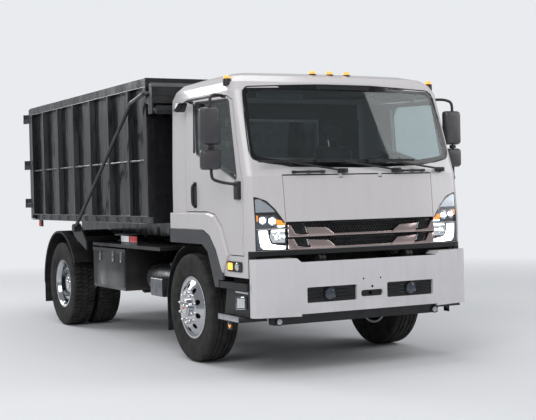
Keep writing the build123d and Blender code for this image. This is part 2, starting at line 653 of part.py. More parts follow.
def front_mudguards():
    """Quarter mudguards with flaps behind the front wheels, on tube stays from the frame."""
    inner, outer = 840.0, 1145.0
    radius = 605.0
    guard = arc_band(0, 508, radius, SKIN, 8, 76, inner, outer)
    flap = block(inner, outer, radius - 7, radius + 1, 240, 620)
    stay = bar((FRAME_HALF_WIDTH + FIT, 596, 900), (outer - 40, 596, 900), 17)
    post = block(inner, inner + 40, 580, 612, 660, 915)
    strut = block(inner, inner + 40, 455, 600, 880, 915)
    return fuse([guard, flap, stay, post, strut])


def cab_steps():
    """Step panel, upper trim, step plate and its beam, on the frame ahead of the front wheel."""
    outer = 1128.0
    panel = prism_x([(-1195, 520), (-690, 520), (-760, 812), (-1195, 812)], outer - 60, outer)
    trim = prism_x([(-1205, 752), (-662, 752), (-672, 812), (-1205, 812)], outer - 20, outer + 34)
    plate = prism_x([(-1110, 470), (-670, 470), (-670, 508), (-1110, 508)], outer - 210, outer + 62)
    riser = block(outer - 210, outer - 180, -1110, -680, 508, 790)
    beam = block(FRAME_HALF_WIDTH + FIT, outer - 50, -1010, -930, 735, 800)
    leg = block(outer - 215, outer - 100, -1010, -930, 500, 800)
    lamp = block(outer - 40, outer + 8, -1150, -1010, 590, 700)
    return fuse([panel, trim, plate, riser, beam, leg, lamp])


def rear_lamp_bar():
    """Rear underrun beam with its drop arms and lamp brackets."""
    y = FRAME_REAR
    beam = block(-1100, 1100, y - 30, y + 50, 470, 570)
    pieces = [beam]
    for side in BOTH_SIDES:
        arm = prism_x([(y - 260, 900), (y - 160, 900), (y + 30, 560), (y - 30, 560), (y - 260, 780)],
                      side * (FRAME_HALF_WIDTH + FIT), side * (FRAME_HALF_WIDTH + 26))
        pieces.append(arm)
        pieces.append(block(side * 640, side * 1000, y - 20, y + 30, 568, 690))
    return fuse(pieces)


# Hoist and container


def hoist_subframe():
    """Subframe on the chassis rails with its rear hinge brackets and container rollers."""
    inner, outer = FRAME_HALF_WIDTH - 82, FRAME_HALF_WIDTH - 2
    beam = block(inner, outer, 600, FRAME_REAR - 30, FRAME_TOP, SUBFRAME_TOP)
    pieces = [beam, other_side(beam)]
    for y0, y1 in ((700, 780), (HOIST_PIVOT_Y - 150, HOIST_PIVOT_Y - 70)):
        pieces.append(block(-inner - 1, inner + 1, y0, y1, FRAME_TOP, FRAME_TOP + 14))
    for side in BOTH_SIDES:
        ear = prism_x([(HOIST_PIVOT_Y - 110, FRAME_TOP), (HOIST_PIVOT_Y + 120, FRAME_TOP),
                       (HOIST_PIVOT_Y + 45, HOIST_PIVOT_Z + 62), (HOIST_PIVOT_Y - 45, HOIST_PIVOT_Z + 62)],
                      side * inner, side * (inner + 30))
        pieces.append(ear)
    frame = fuse(pieces)
    frame += across(30, -inner - 30, inner + 30, HOIST_PIVOT_Y, HOIST_PIVOT_Z)
    lug_y, lug_z = CYLINDER_BASE
    for side in BOTH_SIDES:
        gap = CYLINDER_RADIUS + GAP
        for near, far in ((CYLINDER_X - gap - 20, CYLINDER_X - gap), (CYLINDER_X + gap, inner + 1)):
            frame += block(side * near, side * far, lug_y - 60, lug_y + 60, lug_z - 70, lug_z + 60)
        frame += across(22, side * (CYLINDER_X - gap - 10), side * (CYLINDER_X + gap + 10), lug_y, lug_z)
    frame += block(-inner, inner, lug_y - 60, lug_y + 60, lug_z - 95, lug_z - 65)
    for side in BOTH_SIDES:
        frame += block(side * (inner - 30), side * (inner + 1), lug_y - 60, lug_y + 60, lug_z - 95,
                       FRAME_TOP + 20)
    return frame


def tilt_frame():
    """Tilting frame: two beams on the rear hinge, ties and lugs for the lift rods."""
    half = TILT_BEAM_WIDTH / 2
    beam = prism_x([(760, TILT_BEAM_BOTTOM), (HOIST_PIVOT_Y - 190, TILT_BEAM_BOTTOM),
                    (HOIST_PIVOT_Y - 90, HOIST_PIVOT_Z - 45),
                    (HOIST_PIVOT_Y + 45, HOIST_PIVOT_Z - 45), (HOIST_PIVOT_Y + 60, HOIST_PIVOT_Z),
                    (HOIST_PIVOT_Y + 60, TILT_BEAM_TOP), (760, TILT_BEAM_TOP)], TILT_BEAM_X - half,
                    TILT_BEAM_X + half)
    eye_y, eye_z = CYLINDER_EYE
    lug = prism_x([(eye_y - 120, TILT_BEAM_TOP - 20), (eye_y + 120, TILT_BEAM_TOP - 20),
                   (eye_y + 50, eye_z - 60),
                   (eye_y - 50, eye_z - 60)], CYLINDER_X + 40, CYLINDER_X + 55)
    inner_lug = Pos(-95, 0, 0) * lug
    frame = beam + lug + inner_lug
    frame = frame + other_side(frame)
    reach = TILT_BEAM_X - half + 1
    frame += block(-reach, reach, eye_y - 120, eye_y + 120, TILT_BEAM_TOP - 30, TILT_BEAM_TOP)
    frame += block(-reach, reach, 2700, 2800, TILT_BEAM_TOP - 60, TILT_BEAM_TOP)
    frame += block(-reach, reach, 3350, 3430, TILT_BEAM_TOP - 60, TILT_BEAM_TOP)
    frame += block(-reach, reach, HOIST_PIVOT_Y - 60, HOIST_PIVOT_Y + 60, TILT_BEAM_TOP - 60, TILT_BEAM_TOP)
    for y in REST_PLACES:
        rest = block(TILT_BEAM_X + half - 1, SILL_HALF_SPACING + 40, y - 40, y + 40, SILL_BOTTOM - 34,
                     SILL_BOTTOM - FIT)
        frame += rest + other_side(rest)
    frame -= across(30 + FIT, -400, 400, HOIST_PIVOT_Y, HOIST_PIVOT_Z)
    return frame


def hook_mast():
    """Hook arm: sliding base in the tilt frame, upright mast and the hook at its top."""
    reach = TILT_BEAM_X - TILT_BEAM_WIDTH / 2 - FIT
    base = block(-reach, reach, MAST_FRONT + 20, 2600, TILT_BEAM_BOTTOM + 4, TILT_BEAM_TOP - 10)
    mast = prism_x([(MAST_FRONT, TILT_BEAM_BOTTOM + 4), (MAST_FRONT + MAST_DEPTH + 240, TILT_BEAM_BOTTOM + 4),
                    (MAST_FRONT + MAST_DEPTH + 240, TILT_BEAM_TOP - 10),
                    (MAST_FRONT + MAST_DEPTH, TILT_BEAM_TOP + 220),
                    (MAST_FRONT + MAST_DEPTH, HOOK_BAR_Z - 120),
                    (MAST_FRONT + MAST_DEPTH - 20, HOOK_BAR_Z - 100),
                    (MAST_FRONT, HOOK_BAR_Z - 140)], -MAST_HALF_WIDTH, MAST_HALF_WIDTH)
    y, z = HOOK_BAR_Y, HOOK_BAR_Z
    seat = HOOK_BAR_RADIUS + FIT
    hook = prism_x([(MAST_FRONT + 4, z - 160), (MAST_FRONT + MAST_DEPTH - 15, z - 160), (y - 12, z - 70),
                    (y + 48, z - 50),
                    (y + 56, z + 24), (y + seat + 10, z + 24), (y + seat + 4, z - seat),
                    (y - seat - 4, z - seat),
                    (y - seat - 10, z + 40), (MAST_FRONT + 60, z + 60), (MAST_FRONT + 4, z)], -32, 32)
    return base + mast + hook


def rib_places():
    """Places of the upright ribs along the box, counted from the rear post."""
    rear_post = BOX_FRONT + BOX_LENGTH - RIB_WIDTH / 2
    return [rear_post - RIB_PITCH * (k + 1) for k in range(RIB_COUNT)]


def container_side():
    """Left side wall: sheet, upright ribs, posts, top rail and bottom channel."""
    front, rear = BOX_FRONT, BOX_REAR
    sheet = block(SHEET_X - BOX_SHEET, SHEET_X, front + 40, rear - 20, RAIL_TOP - 20, TOP_RAIL_BOTTOM + 20)
    top = block(SHEET_X - 30, BOX_HALF_WIDTH, front, rear, TOP_RAIL_BOTTOM, BOX_TOP)
    bottom = block(SHEET_X - 60, BOX_HALF_WIDTH, front, rear, BOX_RAIL_BOTTOM, RAIL_TOP)
    bottom -= block(SHEET_X + 12, BOX_HALF_WIDTH + 1, front - 1, rear + 1, BOX_RAIL_BOTTOM + 8, RAIL_TOP - 8)
    bottom -= block(SHEET_X + 12, BOX_HALF_WIDTH + 1, front - 1, front + 130, BOX_RAIL_BOTTOM - 1, RAIL_TOP - 8)
    posts = [block(SHEET_X - 30, BOX_HALF_WIDTH, y, y + POST_LENGTH, RAIL_TOP, TOP_RAIL_BOTTOM)
             for y in (front, rear - POST_LENGTH)]
    half = RIB_WIDTH / 2
    ribs = []
    for y in rib_places():
        plan = [(SHEET_X, y - half), (BOX_HALF_WIDTH - 2, y - half + 14), (BOX_HALF_WIDTH - 2, y + half - 14),
                (SHEET_X, y + half)]
        ribs.append(prism_z(plan, RAIL_TOP, TOP_RAIL_BOTTOM))
    rod_x = BOX_HALF_WIDTH - 20
    rod = bar((rod_x, front + 20, TIE_ROD_Z), (rod_x, rear - 20, TIE_ROD_Z), TIE_ROD_RADIUS)
    side = fuse([sheet, top, bottom, *posts, *ribs, rod])
    hx, hy, r = GATE_HINGE_X, GATE_HINGE_Y, GATE_EAR_RADIUS
    plan = [(BOX_HALF_WIDTH - 50, rear - 60), (BOX_HALF_WIDTH, rear - 60), (hx + r, hy - 10),
            (hx + r * 0.7, hy + r * 0.7),
            (hx, hy + r), (hx - r, hy), (BOX_HALF_WIDTH + 1, rear + 1), (BOX_HALF_WIDTH - 50, rear)]
    for z in HINGE_EARS:
        side += prism_z(plan, z - 60, z - HINGE_PLAY)
        side -= bar((hx, hy, z - 61), (hx, hy, z), HINGE_PIN_RADIUS + FIT)
    return side


def container_base():
    """Floor on cross channels and two long sills, front wall with its hook bar frame."""
    front, rear = BOX_FRONT, BOX_REAR
    inner = SHEET_X - 60
    floor = block(-inner, inner, front, rear, RAIL_TOP - 30, RAIL_TOP - 22)
    pieces = [floor]
    count = 13
    for k in range(count):
        y = front + 60 + (rear - front - 120) * k / (count - 1)
        pieces.append(block(-inner, inner, y - 25, y + 25, BOX_RAIL_BOTTOM, RAIL_TOP - 29))
    for side in BOTH_SIDES:
        sill = prism_x([(front + 40, SILL_BOTTOM), (rear - 20, SILL_BOTTOM), (rear - 20, BOX_RAIL_BOTTOM + 1),
                        (front - 60, BOX_RAIL_BOTTOM + 1), (front - 60, SILL_BOTTOM + 80)],
                       side * (SILL_HALF_SPACING - 35), side * (SILL_HALF_SPACING + 35))
        pieces.append(sill)
    pieces.append(block(-SHEET_X + 30, SHEET_X - 30, front + 50, front + 58, RAIL_TOP, BOX_TOP - 20))
    pieces.append(block(-inner, inner, front + 50, front + 58, RAIL_TOP - 30, RAIL_TOP + 1))
    pieces.append(block(-SHEET_X + 30, SHEET_X - 30, front, front + 60, TOP_RAIL_BOTTOM, BOX_TOP))
    for z in (1640, 1930, 2420):
        pieces.append(block(-SHEET_X + 30, SHEET_X - 30, front + 8, front + 51, z - 35, z + 35))
    for side in BOTH_SIDES:
        leg = prism_y([(side * 560, BOX_RAIL_BOTTOM), (side * 480, BOX_RAIL_BOTTOM),
                       (side * 190, HOOK_BAR_Z + 60), (side * 250, HOOK_BAR_Z + 60)], front - 58, front + 51)
        pieces.append(leg)
    pieces.append(across(HOOK_BAR_RADIUS, -225, 225, HOOK_BAR_Y, HOOK_BAR_Z))
    return fuse(pieces)


def container_gate():
    """Left rear gate leaf: framed sheet with ribs, hinge knuckles and pin."""
    near, far = BOX_HALF_WIDTH - 8, 6.0
    y0 = BOX_REAR + 4
    y1 = BOX_FRONT + BOX_LENGTH - 2
    low, high = BOX_RAIL_BOTTOM + 12, BOX_TOP - 8
    frame = block(far, near, y0, y1, low, high) - block(far + 70, near - 80, y0 - 1, y1 + 1, low + 80,
                                                        high - 80)
    sheet = block(far + 60, near - 70, y0 + 6, y0 + 12, low + 70, high - 70)
    pieces = [frame, sheet]
    for z in (1690, 2050, 2400):
        pieces.append(block(far + 60, near - 70, y0 + 10, y1 - 16, z - 32, z + 32))
    pieces.append(block(580, 650, y0 + 10, y1 - 8, low + 70, high - 70))
    hx, hy, r = GATE_HINGE_X, GATE_HINGE_Y, GATE_EAR_RADIUS
    for z in HINGE_EARS:
        knuckle_plan = [(near - 100, y1 - 30), (near - 60, y1 - 1), (hx - r, hy + 4), (hx, hy + r),
                        (hx + r - 4, hy), (hx, hy - r), (near - 2, y1 - 20), (near - 40, y1 - 50)]
        pieces.append(prism_z(knuckle_plan, z, z + 60))
        pieces.append(bar((hx, hy, z - 58), (hx, hy, z + 2), HINGE_PIN_RADIUS))
    return fuse(pieces)


# Tarp gear


def tarp_arms():
    """Both tarp arms with pivot bosses, joined by the cross bow."""
    side_arm = pipe([(ARM_X, ARM_PIVOT_Y, ARM_PIVOT_Z), (ARM_X, ARM_BEND_Y, ARM_BEND_Z), (ARM_X, BOW_Y, BOW_Z),
                     (ARM_X - 200, BOW_Y, BOW_Z)], ARM_RADIUS, 60)
    boss = across(48, ARM_X - 26, ARM_X + 26, ARM_PIVOT_Y, ARM_PIVOT_Z)
    half = side_arm + boss
    bow = across(ARM_RADIUS, -ARM_X + 199, ARM_X - 199, BOW_Y, BOW_Z)
    return fuse([half, bow, other_side(half)])


def arm_bracket():
    """Bracket of the left tarp arm's pivot, carried off the frame ahead of the rear wheel."""
    x = ARM_X - 26 - FIT
    plate = prism_x([(2640, 985), (3060, 1130), (3140, 1215), (2960, ARM_PIVOT_Z + 60),
                     (2880, ARM_PIVOT_Z + 50), (2640, 1080)], x - 20, x)
    foot = FRAME_HALF_WIDTH + FIT
    stub = block(foot, x - 1, 2870, 2960, 1075, 1125) + block(foot, 500, 2870, 2960, 780, 1125)
    return fuse([plate, stub])


def tarp_gantry():
    """Gantry behind the cab: two posts, cross beam, wind panel and the arms' brackets."""
    low, high = GANTRY_BEAM_LOW, GANTRY_BEAM_TOP
    front = GANTRY_Y
    post_rear = GANTRY_POST_Y + 65
    beam = block(-GANTRY_HALF_WIDTH, GANTRY_HALF_WIDTH, front, post_rear, low, high)
    panel = prism_x([(front - 10, high), (front + 70, high), (front + 70, high + 118), (front + 30, high + 130),
                     (front + 2, high + 90)], -GANTRY_HALF_WIDTH, GANTRY_HALF_WIDTH)
    pieces = [beam, panel]
    for side in BOTH_SIDES:
        post_in, post_out = side * (GANTRY_POST_X - 44), side * (GANTRY_POST_X + 44)
        pieces.append(block(post_in, post_out, GANTRY_POST_Y, post_rear, SUBFRAME_TOP + FIT, low + 5))
        pieces.append(block(post_in, post_out, GANTRY_POST_Y - 90, post_rear, SUBFRAME_TOP + FIT,
                            SUBFRAME_TOP + 20))
        end_in = side * (GANTRY_HALF_WIDTH - END_PLATE)
        pieces.append(block(end_in, side * GANTRY_HALF_WIDTH, front, ROLL_Y + 60, ROLL_Z - 45, low + 5))
    return fuse(pieces)


def tarp_roll():
    """Tarp wound on its roller, with the roller's ends."""
    end = GANTRY_HALF_WIDTH - END_PLATE - FIT
    return across(ROLL_RADIUS, -end + 30, end - 30, ROLL_Y, ROLL_Z) + across(18, -end, end, ROLL_Y, ROLL_Z)


# Lift cylinders


def cylinder_axis():
    """Unit line and length from a lift cylinder's base pin to its rod eye."""
    dy = CYLINDER_EYE[0] - CYLINDER_BASE[0]
    dz = CYLINDER_EYE[1] - CYLINDER_BASE[1]
    length = hypot(dy, dz)
    return dy / length, dz / length, length


def on_cylinder(distance, x=CYLINDER_X):
    """Point on a lift cylinder's line, at a distance from its base pin."""
    uy, uz, _ = cylinder_axis()
    return (x, CYLINDER_BASE[0] + uy * distance, CYLINDER_BASE[1] + uz * distance)


def lift_barrel():
    """Left lift barrel with its base eye, bored for the rod."""
    end, gland = BARREL_LENGTH, BARREL_LENGTH - 60
    profile = [
        (30, 0), (30, 34), (75, 34), (75, CYLINDER_RADIUS), (end, CYLINDER_RADIUS), (end, ROD_RADIUS + FIT),
        (gland, ROD_RADIUS + FIT), (gland, ROD_RADIUS + 4), (ROD_START - 50, ROD_RADIUS + 4),
        (ROD_START - 50, 0),
    ]
    uy, uz, _ = cylinder_axis()
    line = Plane(origin=on_cylinder(0), x_dir=(0, uy, uz), z_dir=(1, 0, 0))
    barrel = line * turned(profile)
    barrel += across(42, CYLINDER_X - 42, CYLINDER_X + 42, *CYLINDER_BASE)
    return barrel - across(22 + FIT, CYLINDER_X - 100, CYLINDER_X + 100, *CYLINDER_BASE)


def lift_rod():
    """Left lift rod with its eye; the eye's pin stops just short of the tilt frame's lugs."""
    _, _, length = cylinder_axis()
    rod = bar(on_cylinder(ROD_START), on_cylinder(length - 20), ROD_RADIUS)
    rod += across(44, CYLINDER_X - 34, CYLINDER_X + 34, *CYLINDER_EYE)
    return rod


# Cab


def cab_section(height, half_width, front, rear, corner, inset):
    """Plan outline of the cab at one height: bowed front, rounded corners."""
    w = half_width - inset
    f = front + inset
    b = rear - inset
    c = corner - inset * 0.5
    bow = FRONT_BOW
    k = c * (1 - cos(radians(45)))
    line = ThreePointArc((-w + c, f + bow), (0, f), (w - c, f + bow))
    line += ThreePointArc((w - c, f + bow), (w - k, f + bow + k), (w, f + bow + c))
    line += Line((w, f + bow + c), (w, b - 60))
    line += ThreePointArc((w, b - 60), (w - 18, b - 18), (w - 60, b))
    line += Line((w - 60, b), (-w + 60, b))
    line += ThreePointArc((-w + 60, b), (-w + 18, b - 18), (-w, b - 60))
    line += Line((-w, b - 60), (-w, f + bow + c))
    line += ThreePointArc((-w, f + bow + c), (-w + k, f + bow + k), (-w + c, f + bow))
    return Pos(0, 0, height) * make_face(line)


def cab_form(inset=0.0, drop=None):
    """Closed form of the cab, its sides drawn in by inset and its top lowered by drop."""
    fall = inset if drop is None else drop
    faces = []
    for height, half_width, front, rear, corner in CAB_SECTIONS:
        z = height - (fall if height > 2550 else 0)
        faces.append(cab_section(z, half_width, front, rear, corner, inset))
    return loft(faces, ruled=True)


def door_prism(side, grow):
    """Column along X through the door's outline, its edges moved out by grow."""
    face = offset(outline(DOOR_POINTS), grow, kind=Kind.INTERSECTION) if grow else outline(DOOR_POINTS)
    plane = Plane(origin=(900 * side if side > 0 else -1300, 0, 0), x_dir=(0, 1, 0), z_dir=(1, 0, 0))
    return extrude(plane * face, 400)


def lid_points(grow, top_grow):
    """Front lid's outline seen from the front, its sides and top moved out."""
    low, high = GRILLE_TOP + GAP, BELT_SEAM
    return [(-LID_HALF_BOTTOM - grow, low - grow), (LID_HALF_BOTTOM + grow, low - grow),
            (LID_HALF_TOP + grow, high + top_grow), (-LID_HALF_TOP - grow, high + top_grow)]


def lid_hinge(side):
    """Lug on the cab, notch in the lid and the lid's pin, for one of the lid's two hinges."""
    x, y, z = side * LID_HINGE_X, LID_HINGE_Y, LID_HINGE_Z
    lug = block(x - 15, x + 15, y - 8, y + 10, z - 9, BELT_SEAM + LID_TOP_GAP + 3)
    lug -= across(LID_PIN_RADIUS + FIT, x - 16, x + 16, y, z)
    notch = block(x - 21, x + 21, y - 60, y + 19, z - 18, BELT_SEAM + 1)
    pin = across(LID_PIN_RADIUS, x - 35, x + 35, y, z)
    return lug, notch, pin


def door_hinge(side, z):
    """Lug on the cab, notch in the door and the door's pin, for one door hinge at a height."""
    x, y = side * DOOR_HINGE_X, DOOR_HINGE_Y
    lug = bar((x, y, z), (x, y, z + 24), DOOR_PIN_RADIUS + 3)
    lug += block(x - side * 12, x + side * 2, DOOR_FRONT - 7, y, z, z + 24)
    lug -= bar((x, y, z - 1), (x, y, z + 25), DOOR_PIN_RADIUS + FIT)
    notch = block(x - side * 28, x + side * 30, DOOR_FRONT - 7, y + 18, z - GAP, z + 24 + GAP)
    pin = bar((x, y, z - GAP - 12), (x, y, z + 24 + GAP + 12), DOOR_PIN_RADIUS)
    return lug, notch, pin


def raised_flare():
    """Raised band of the left side panel between the door and the wheel-arch flare."""
    band = prism_x([(440, 1263), (-331, 1263), (-472, 1211), (-602, 1086), (-722, 885), (-838, 1050),
                    (-696, 1299),
                    (-565, 1398), (-402, 1424), (440, 1424)], CAB_HALF_WIDTH - 10, CAB_HALF_WIDTH + 26)
    face = band.faces().sort_by(Axis.X)[-1]
    return chamfer(face.edges(), 12)


def cab_parts():
    """All panels, glass and front fittings that are cut from the cab's form."""
    outer = cab_form()
    shell = outer - cab_form(CAB_WALL)
    floor_top = CAB_FLOOR_UNDER + CAB_FLOOR_THICKNESS
    cavity_low = block(-2000, 2000, -2000, 2000, 0, FRONT_PANEL_BOTTOM)
    skirt = shell & block(-1200, 1200, -1206, -640, CAB_SKIRT_BOTTOM, FRONT_PANEL_BOTTOM)
    skirt -= block(-1060, 1060, -2000, 2000, 0, 2000)
    shell -= cavity_low
    shell += skirt
    arch = prism_x(ARCH_POINTS, -1300, 1300)
    shell -= arch
    screen = prism_y(SCREEN_POINTS, -1600, -600, 45)
    rear_hole = prism_y(REAR_WINDOW, 300, 600, 60)
    lid_hole = prism_y(lid_points(GAP, LID_TOP_GAP), -1600, -1150)
    grille_hole = prism_y([(-GRILLE_HALF_WIDTH, GRILLE_BOTTOM), (GRILLE_HALF_WIDTH, GRILLE_BOTTOM),
                           (GRILLE_HALF_WIDTH, GRILLE_TOP), (-GRILLE_HALF_WIDTH, GRILLE_TOP)], -1600, -1150)
    lamps = [prism_y([(side * x, z) for x, z in LAMP_POINTS], -1600, DOOR_FRONT) for side in BOTH_SIDES]
    panels = shell - screen - rear_hole - lid_hole - grille_hole - lamps[0] - lamps[1]
    lid = shell & prism_y(lid_points(0, 0), -1600, -1150)
    for side in BOTH_SIDES:
        lug, notch, pin = lid_hinge(side)
        panels += lug
        lid = lid - notch + pin
    band = raised_flare()
    doors = {}
    glazing = cab_form(GLASS_RECESS) - cab_form(GLASS_RECESS + GLASS_THICKNESS)
    for side, name in ((1, "left"), (-1, "right")):
        panels -= door_prism(side, 0)
        panels += band if side > 0 else other_side(band)
        window = prism_x(WINDOW_POINTS, side * 900, side * 1300, 40)
        door = (shell & door_prism(side, -DOOR_GAP)) - window
        for z in DOOR_HINGE_HEIGHTS:
            lug, notch, pin = door_hinge(side, z)
            panels += lug
            door = door - notch + pin
        doors[name] = door
        doors[name + "_glass"] = glazing & window
    side = CAB_HALF_WIDTH - CAB_WALL - GAP
    rear = CAB_REAR - CAB_WALL - FIT
    edge = [(0, -1238), (500, -1222), (985, -1188), (side, -1085), (side, rear - 70), (side - 60, rear)]
    floor = prism_z(edge + [(-x, y) for x, y in reversed(edge[1:])], CAB_FLOOR_UNDER, floor_top)
    floor += block(-985, 985, FIREWALL_Y - 20, FIREWALL_Y, floor_top - 1, BELT_SEAM)
    floor += block(-330, 330, FIREWALL_Y - 1, 240, floor_top - 1, floor_top + 120)
    split = block(-2000, 2000, -2000, 2000, ROOF_SPLIT, 3000)
    back = block(-2000, 2000, CAB_REAR - CAB_WALL, 2000, 0, ROOF_SPLIT)
    lamp_solids = [shell & lamp for lamp in lamps]
    grille_backing = (cab_form(32) - cab_form(CAB_WALL)) & grille_hole
    bars = []
    proud = cab_form(-14) - cab_form(34)
    for low, high in ((1110, 1172), (1212, 1274)):
        face = [(-GRILLE_HALF_WIDTH + 40, low), (GRILLE_HALF_WIDTH - 40, low), (GRILLE_HALF_WIDTH - 60, high),
                (-GRILLE_HALF_WIDTH + 60, high)]
        bars.append(proud & prism_y(face, -1600, -1150))
    glass = [glazing & screen, glazing & rear_hole]
    near, far = FRAME_HALF_WIDTH + 36, FRAME_HALF_WIDTH + 66
    ears = prism_x([(CAB_PIVOT_Y + 80, CAB_FLOOR_UNDER + 1), (CAB_PIVOT_Y + 135, CAB_FLOOR_UNDER + 1),
                    (CAB_PIVOT_Y + 135, CAB_PIVOT_Z + 20), (CAB_PIVOT_Y + 60, CAB_PIVOT_Z - CAB_EAR_RADIUS),
                    (CAB_PIVOT_Y, CAB_PIVOT_Z - CAB_EAR_RADIUS), (CAB_PIVOT_Y, CAB_PIVOT_Z + CAB_EAR_RADIUS),
                    (CAB_PIVOT_Y + 80, CAB_PIVOT_Z + CAB_EAR_RADIUS)], near, far)
    ears += across(CAB_EAR_RADIUS, near, far, CAB_PIVOT_Y, CAB_PIVOT_Z)
    pin = across(CAB_PIN_RADIUS, FRAME_HALF_WIDTH - 4, far, CAB_PIVOT_Y, CAB_PIVOT_Z)
    nodes = {
        "cab_roof": panels & split,
        "cab_rear_wall": panels & back,
        "cab_front_panels": panels - split - back,
        "cab_floor": fuse([floor, ears, other_side(ears), pin, other_side(pin)]),
        "cab_glass": group(glass),
        "front_lid": lid,
        "grille": fuse([grille_backing, *bars]),
        "headlamps": group(lamp_solids),
        "door_left": doors["left"],
        "door_right": doors["right"],
        "door_glass_left": doors["left_glass"],
        "door_glass_right": doors["right_glass"],
    }
    return nodes


def cab_flare():
    """Left wheel-arch flare, a raised band round the arch."""
    outer_edge = [(450, 1262), (-330, 1262), (-470, 1210), (-600, 1085), (-735, CAB_SKIRT_BOTTOM),
                  (-735, 822), (-652, 822),
                  (-640, 752), (-570, 752), (-420, 1070), (-300, 1134), (450, 1134)]
    return prism_x(outer_edge, CAB_HALF_WIDTH + 2.5, CAB_HALF_WIDTH + 22)


def dashboard():
    """Dashboard, steering column and wheel (driver on the left)."""
    floor_top = CAB_FLOOR_UNDER + CAB_FLOOR_THICKNESS
    front = FIREWALL_Y + FIT
    desk = prism_x([(front, 1400), (-900, 1420), (-860, 1620), (-930, 1730), (front, 1780)], -1000, 1000)
    column = bar((WHEEL_X, -1000, 1500), (WHEEL_X, -700, 1800), 35)
    plane = Plane(origin=(WHEEL_X, -700, 1800), z_dir=(0, 1, 1))
    wheel = plane * Torus(215, 16)
    spoke = plane * Box(430, 46, 20)
    upright = plane * Box(46, 430, 20)
    feet = [block(side * 331, side * 900, front, front + 30, floor_top, 1410) for side in BOTH_SIDES]
    return fuse([desk, column, wheel, spoke, upright, *feet])


def seats():
    """Driver's seat and a two-place passenger bench, each a cushion with a backrest."""
    floor_top = CAB_FLOOR_UNDER + CAB_FLOOR_THICKNESS
    pieces = []
    for x0, x1 in ((350, 830), (-900, -350)):
        base = block(x0 + 60, x1 - 60, -340, 60, floor_top, 1420)
        cushion = prism_x([(-420, 1420), (90, 1420), (90, 1520), (-400, 1550)], x0, x1, 30)
        back = prism_x([(20, 1500), (140, 1480), (260, 2080), (150, 2110)], x0, x1, 30)
        middle = (x0 + x1) / 2
        head = prism_x([(170, 2100), (250, 2090), (280, 2290), (200, 2300)], middle - 130, middle + 130, 20)
        pieces.append(fuse([base, cushion, back, head]))
    return group(pieces)


def mirror_set():
    """Left mirror: pipe frame on the door, main head, wide-angle head and door-top mirror."""
    x = MIRROR_X
    y = MIRROR_Y
    skin = CAB_HALF_WIDTH - 10
    base = block(skin, skin + 40, -1100, -1000, 1545, 1705)
    lower = pipe([(skin + 20, -1045, 1680), (1215, -1010, 1690), (x, y, 1730), (x, y, 1830)], 14, 30)
    upper = pipe([(x, y, 2330), (x, y, 2440), (1240, y + 20, 2480), (1140, -780, 2474)], 14, 30)
    stem = bar((x, y, 1820), (x, y, 2340), 12)
    head = block(x - 95, x + 95, y - 30, y + 42, 2030, 2365)
    head = fillet(head.edges().filter_by(Axis.Y), 30)
    wide = block(x - 95, x + 95, y - 34, y + 42, 1810, 1996)
    wide = fillet(wide.edges().filter_by(Axis.Y), 30)
    top = CAB_HALF_WIDTH - 26
    feet = [block(top, top + 34, y0 - 22, y0 + 22, 2456, 2484) for y0 in (-780, -70)]
    rail = pipe([(top + 20, -780, 2470), (1190, -760, 2478), (1190, -90, 2484), (top + 20, -70, 2470)], 11, 20)
    look = prism_x([(-60, 2470), (40, 2480), (110, 2400), (20, 2380)], 1160, 1250, 12)
    link = bar((1190, -100, 2484), (1200, 20, 2450), 9)
    return fuse([base, lower, upper, stem, head, wide, *feet, rail, look, link]) - cab_form(-FIT)


def wipers():
    """Three parallel wipers at rest along the foot of the screen."""
    body = cab_form(-FIT)
    pieces = []
    for x in (-190, 390, 900):
        pivot = bar((x, -1200, 1775), (x, -1262, 1780), 20)
        arm = bar((x, -1258, 1784), (x - 560, -1240, 1868), 9)
        blade = block(x - 840, x - 300, -1246, -1232, 1862, 1884)
        pieces.append(fuse([pivot, arm, Pos(0, 4, 0) * blade]) - body)
    return group(pieces)


def marker_lamps():
    """Five clearance lamps on the roof's front edge."""
    body = cab_form(-FIT)
    pieces = []
    places = ((-188, -738, 2692), (0, -738, 2692), (188, -738, 2692), (-1100, -790, 2618), (1100, -790, 2618))
    for x, y, z in places:
        lamp = block(x - 38, x + 38, y - 30, y + 30, z - 40, z + 14) + Pos(x, y, z + 8) * Sphere(26)
        pieces.append(lamp - body)
    return group(pieces)


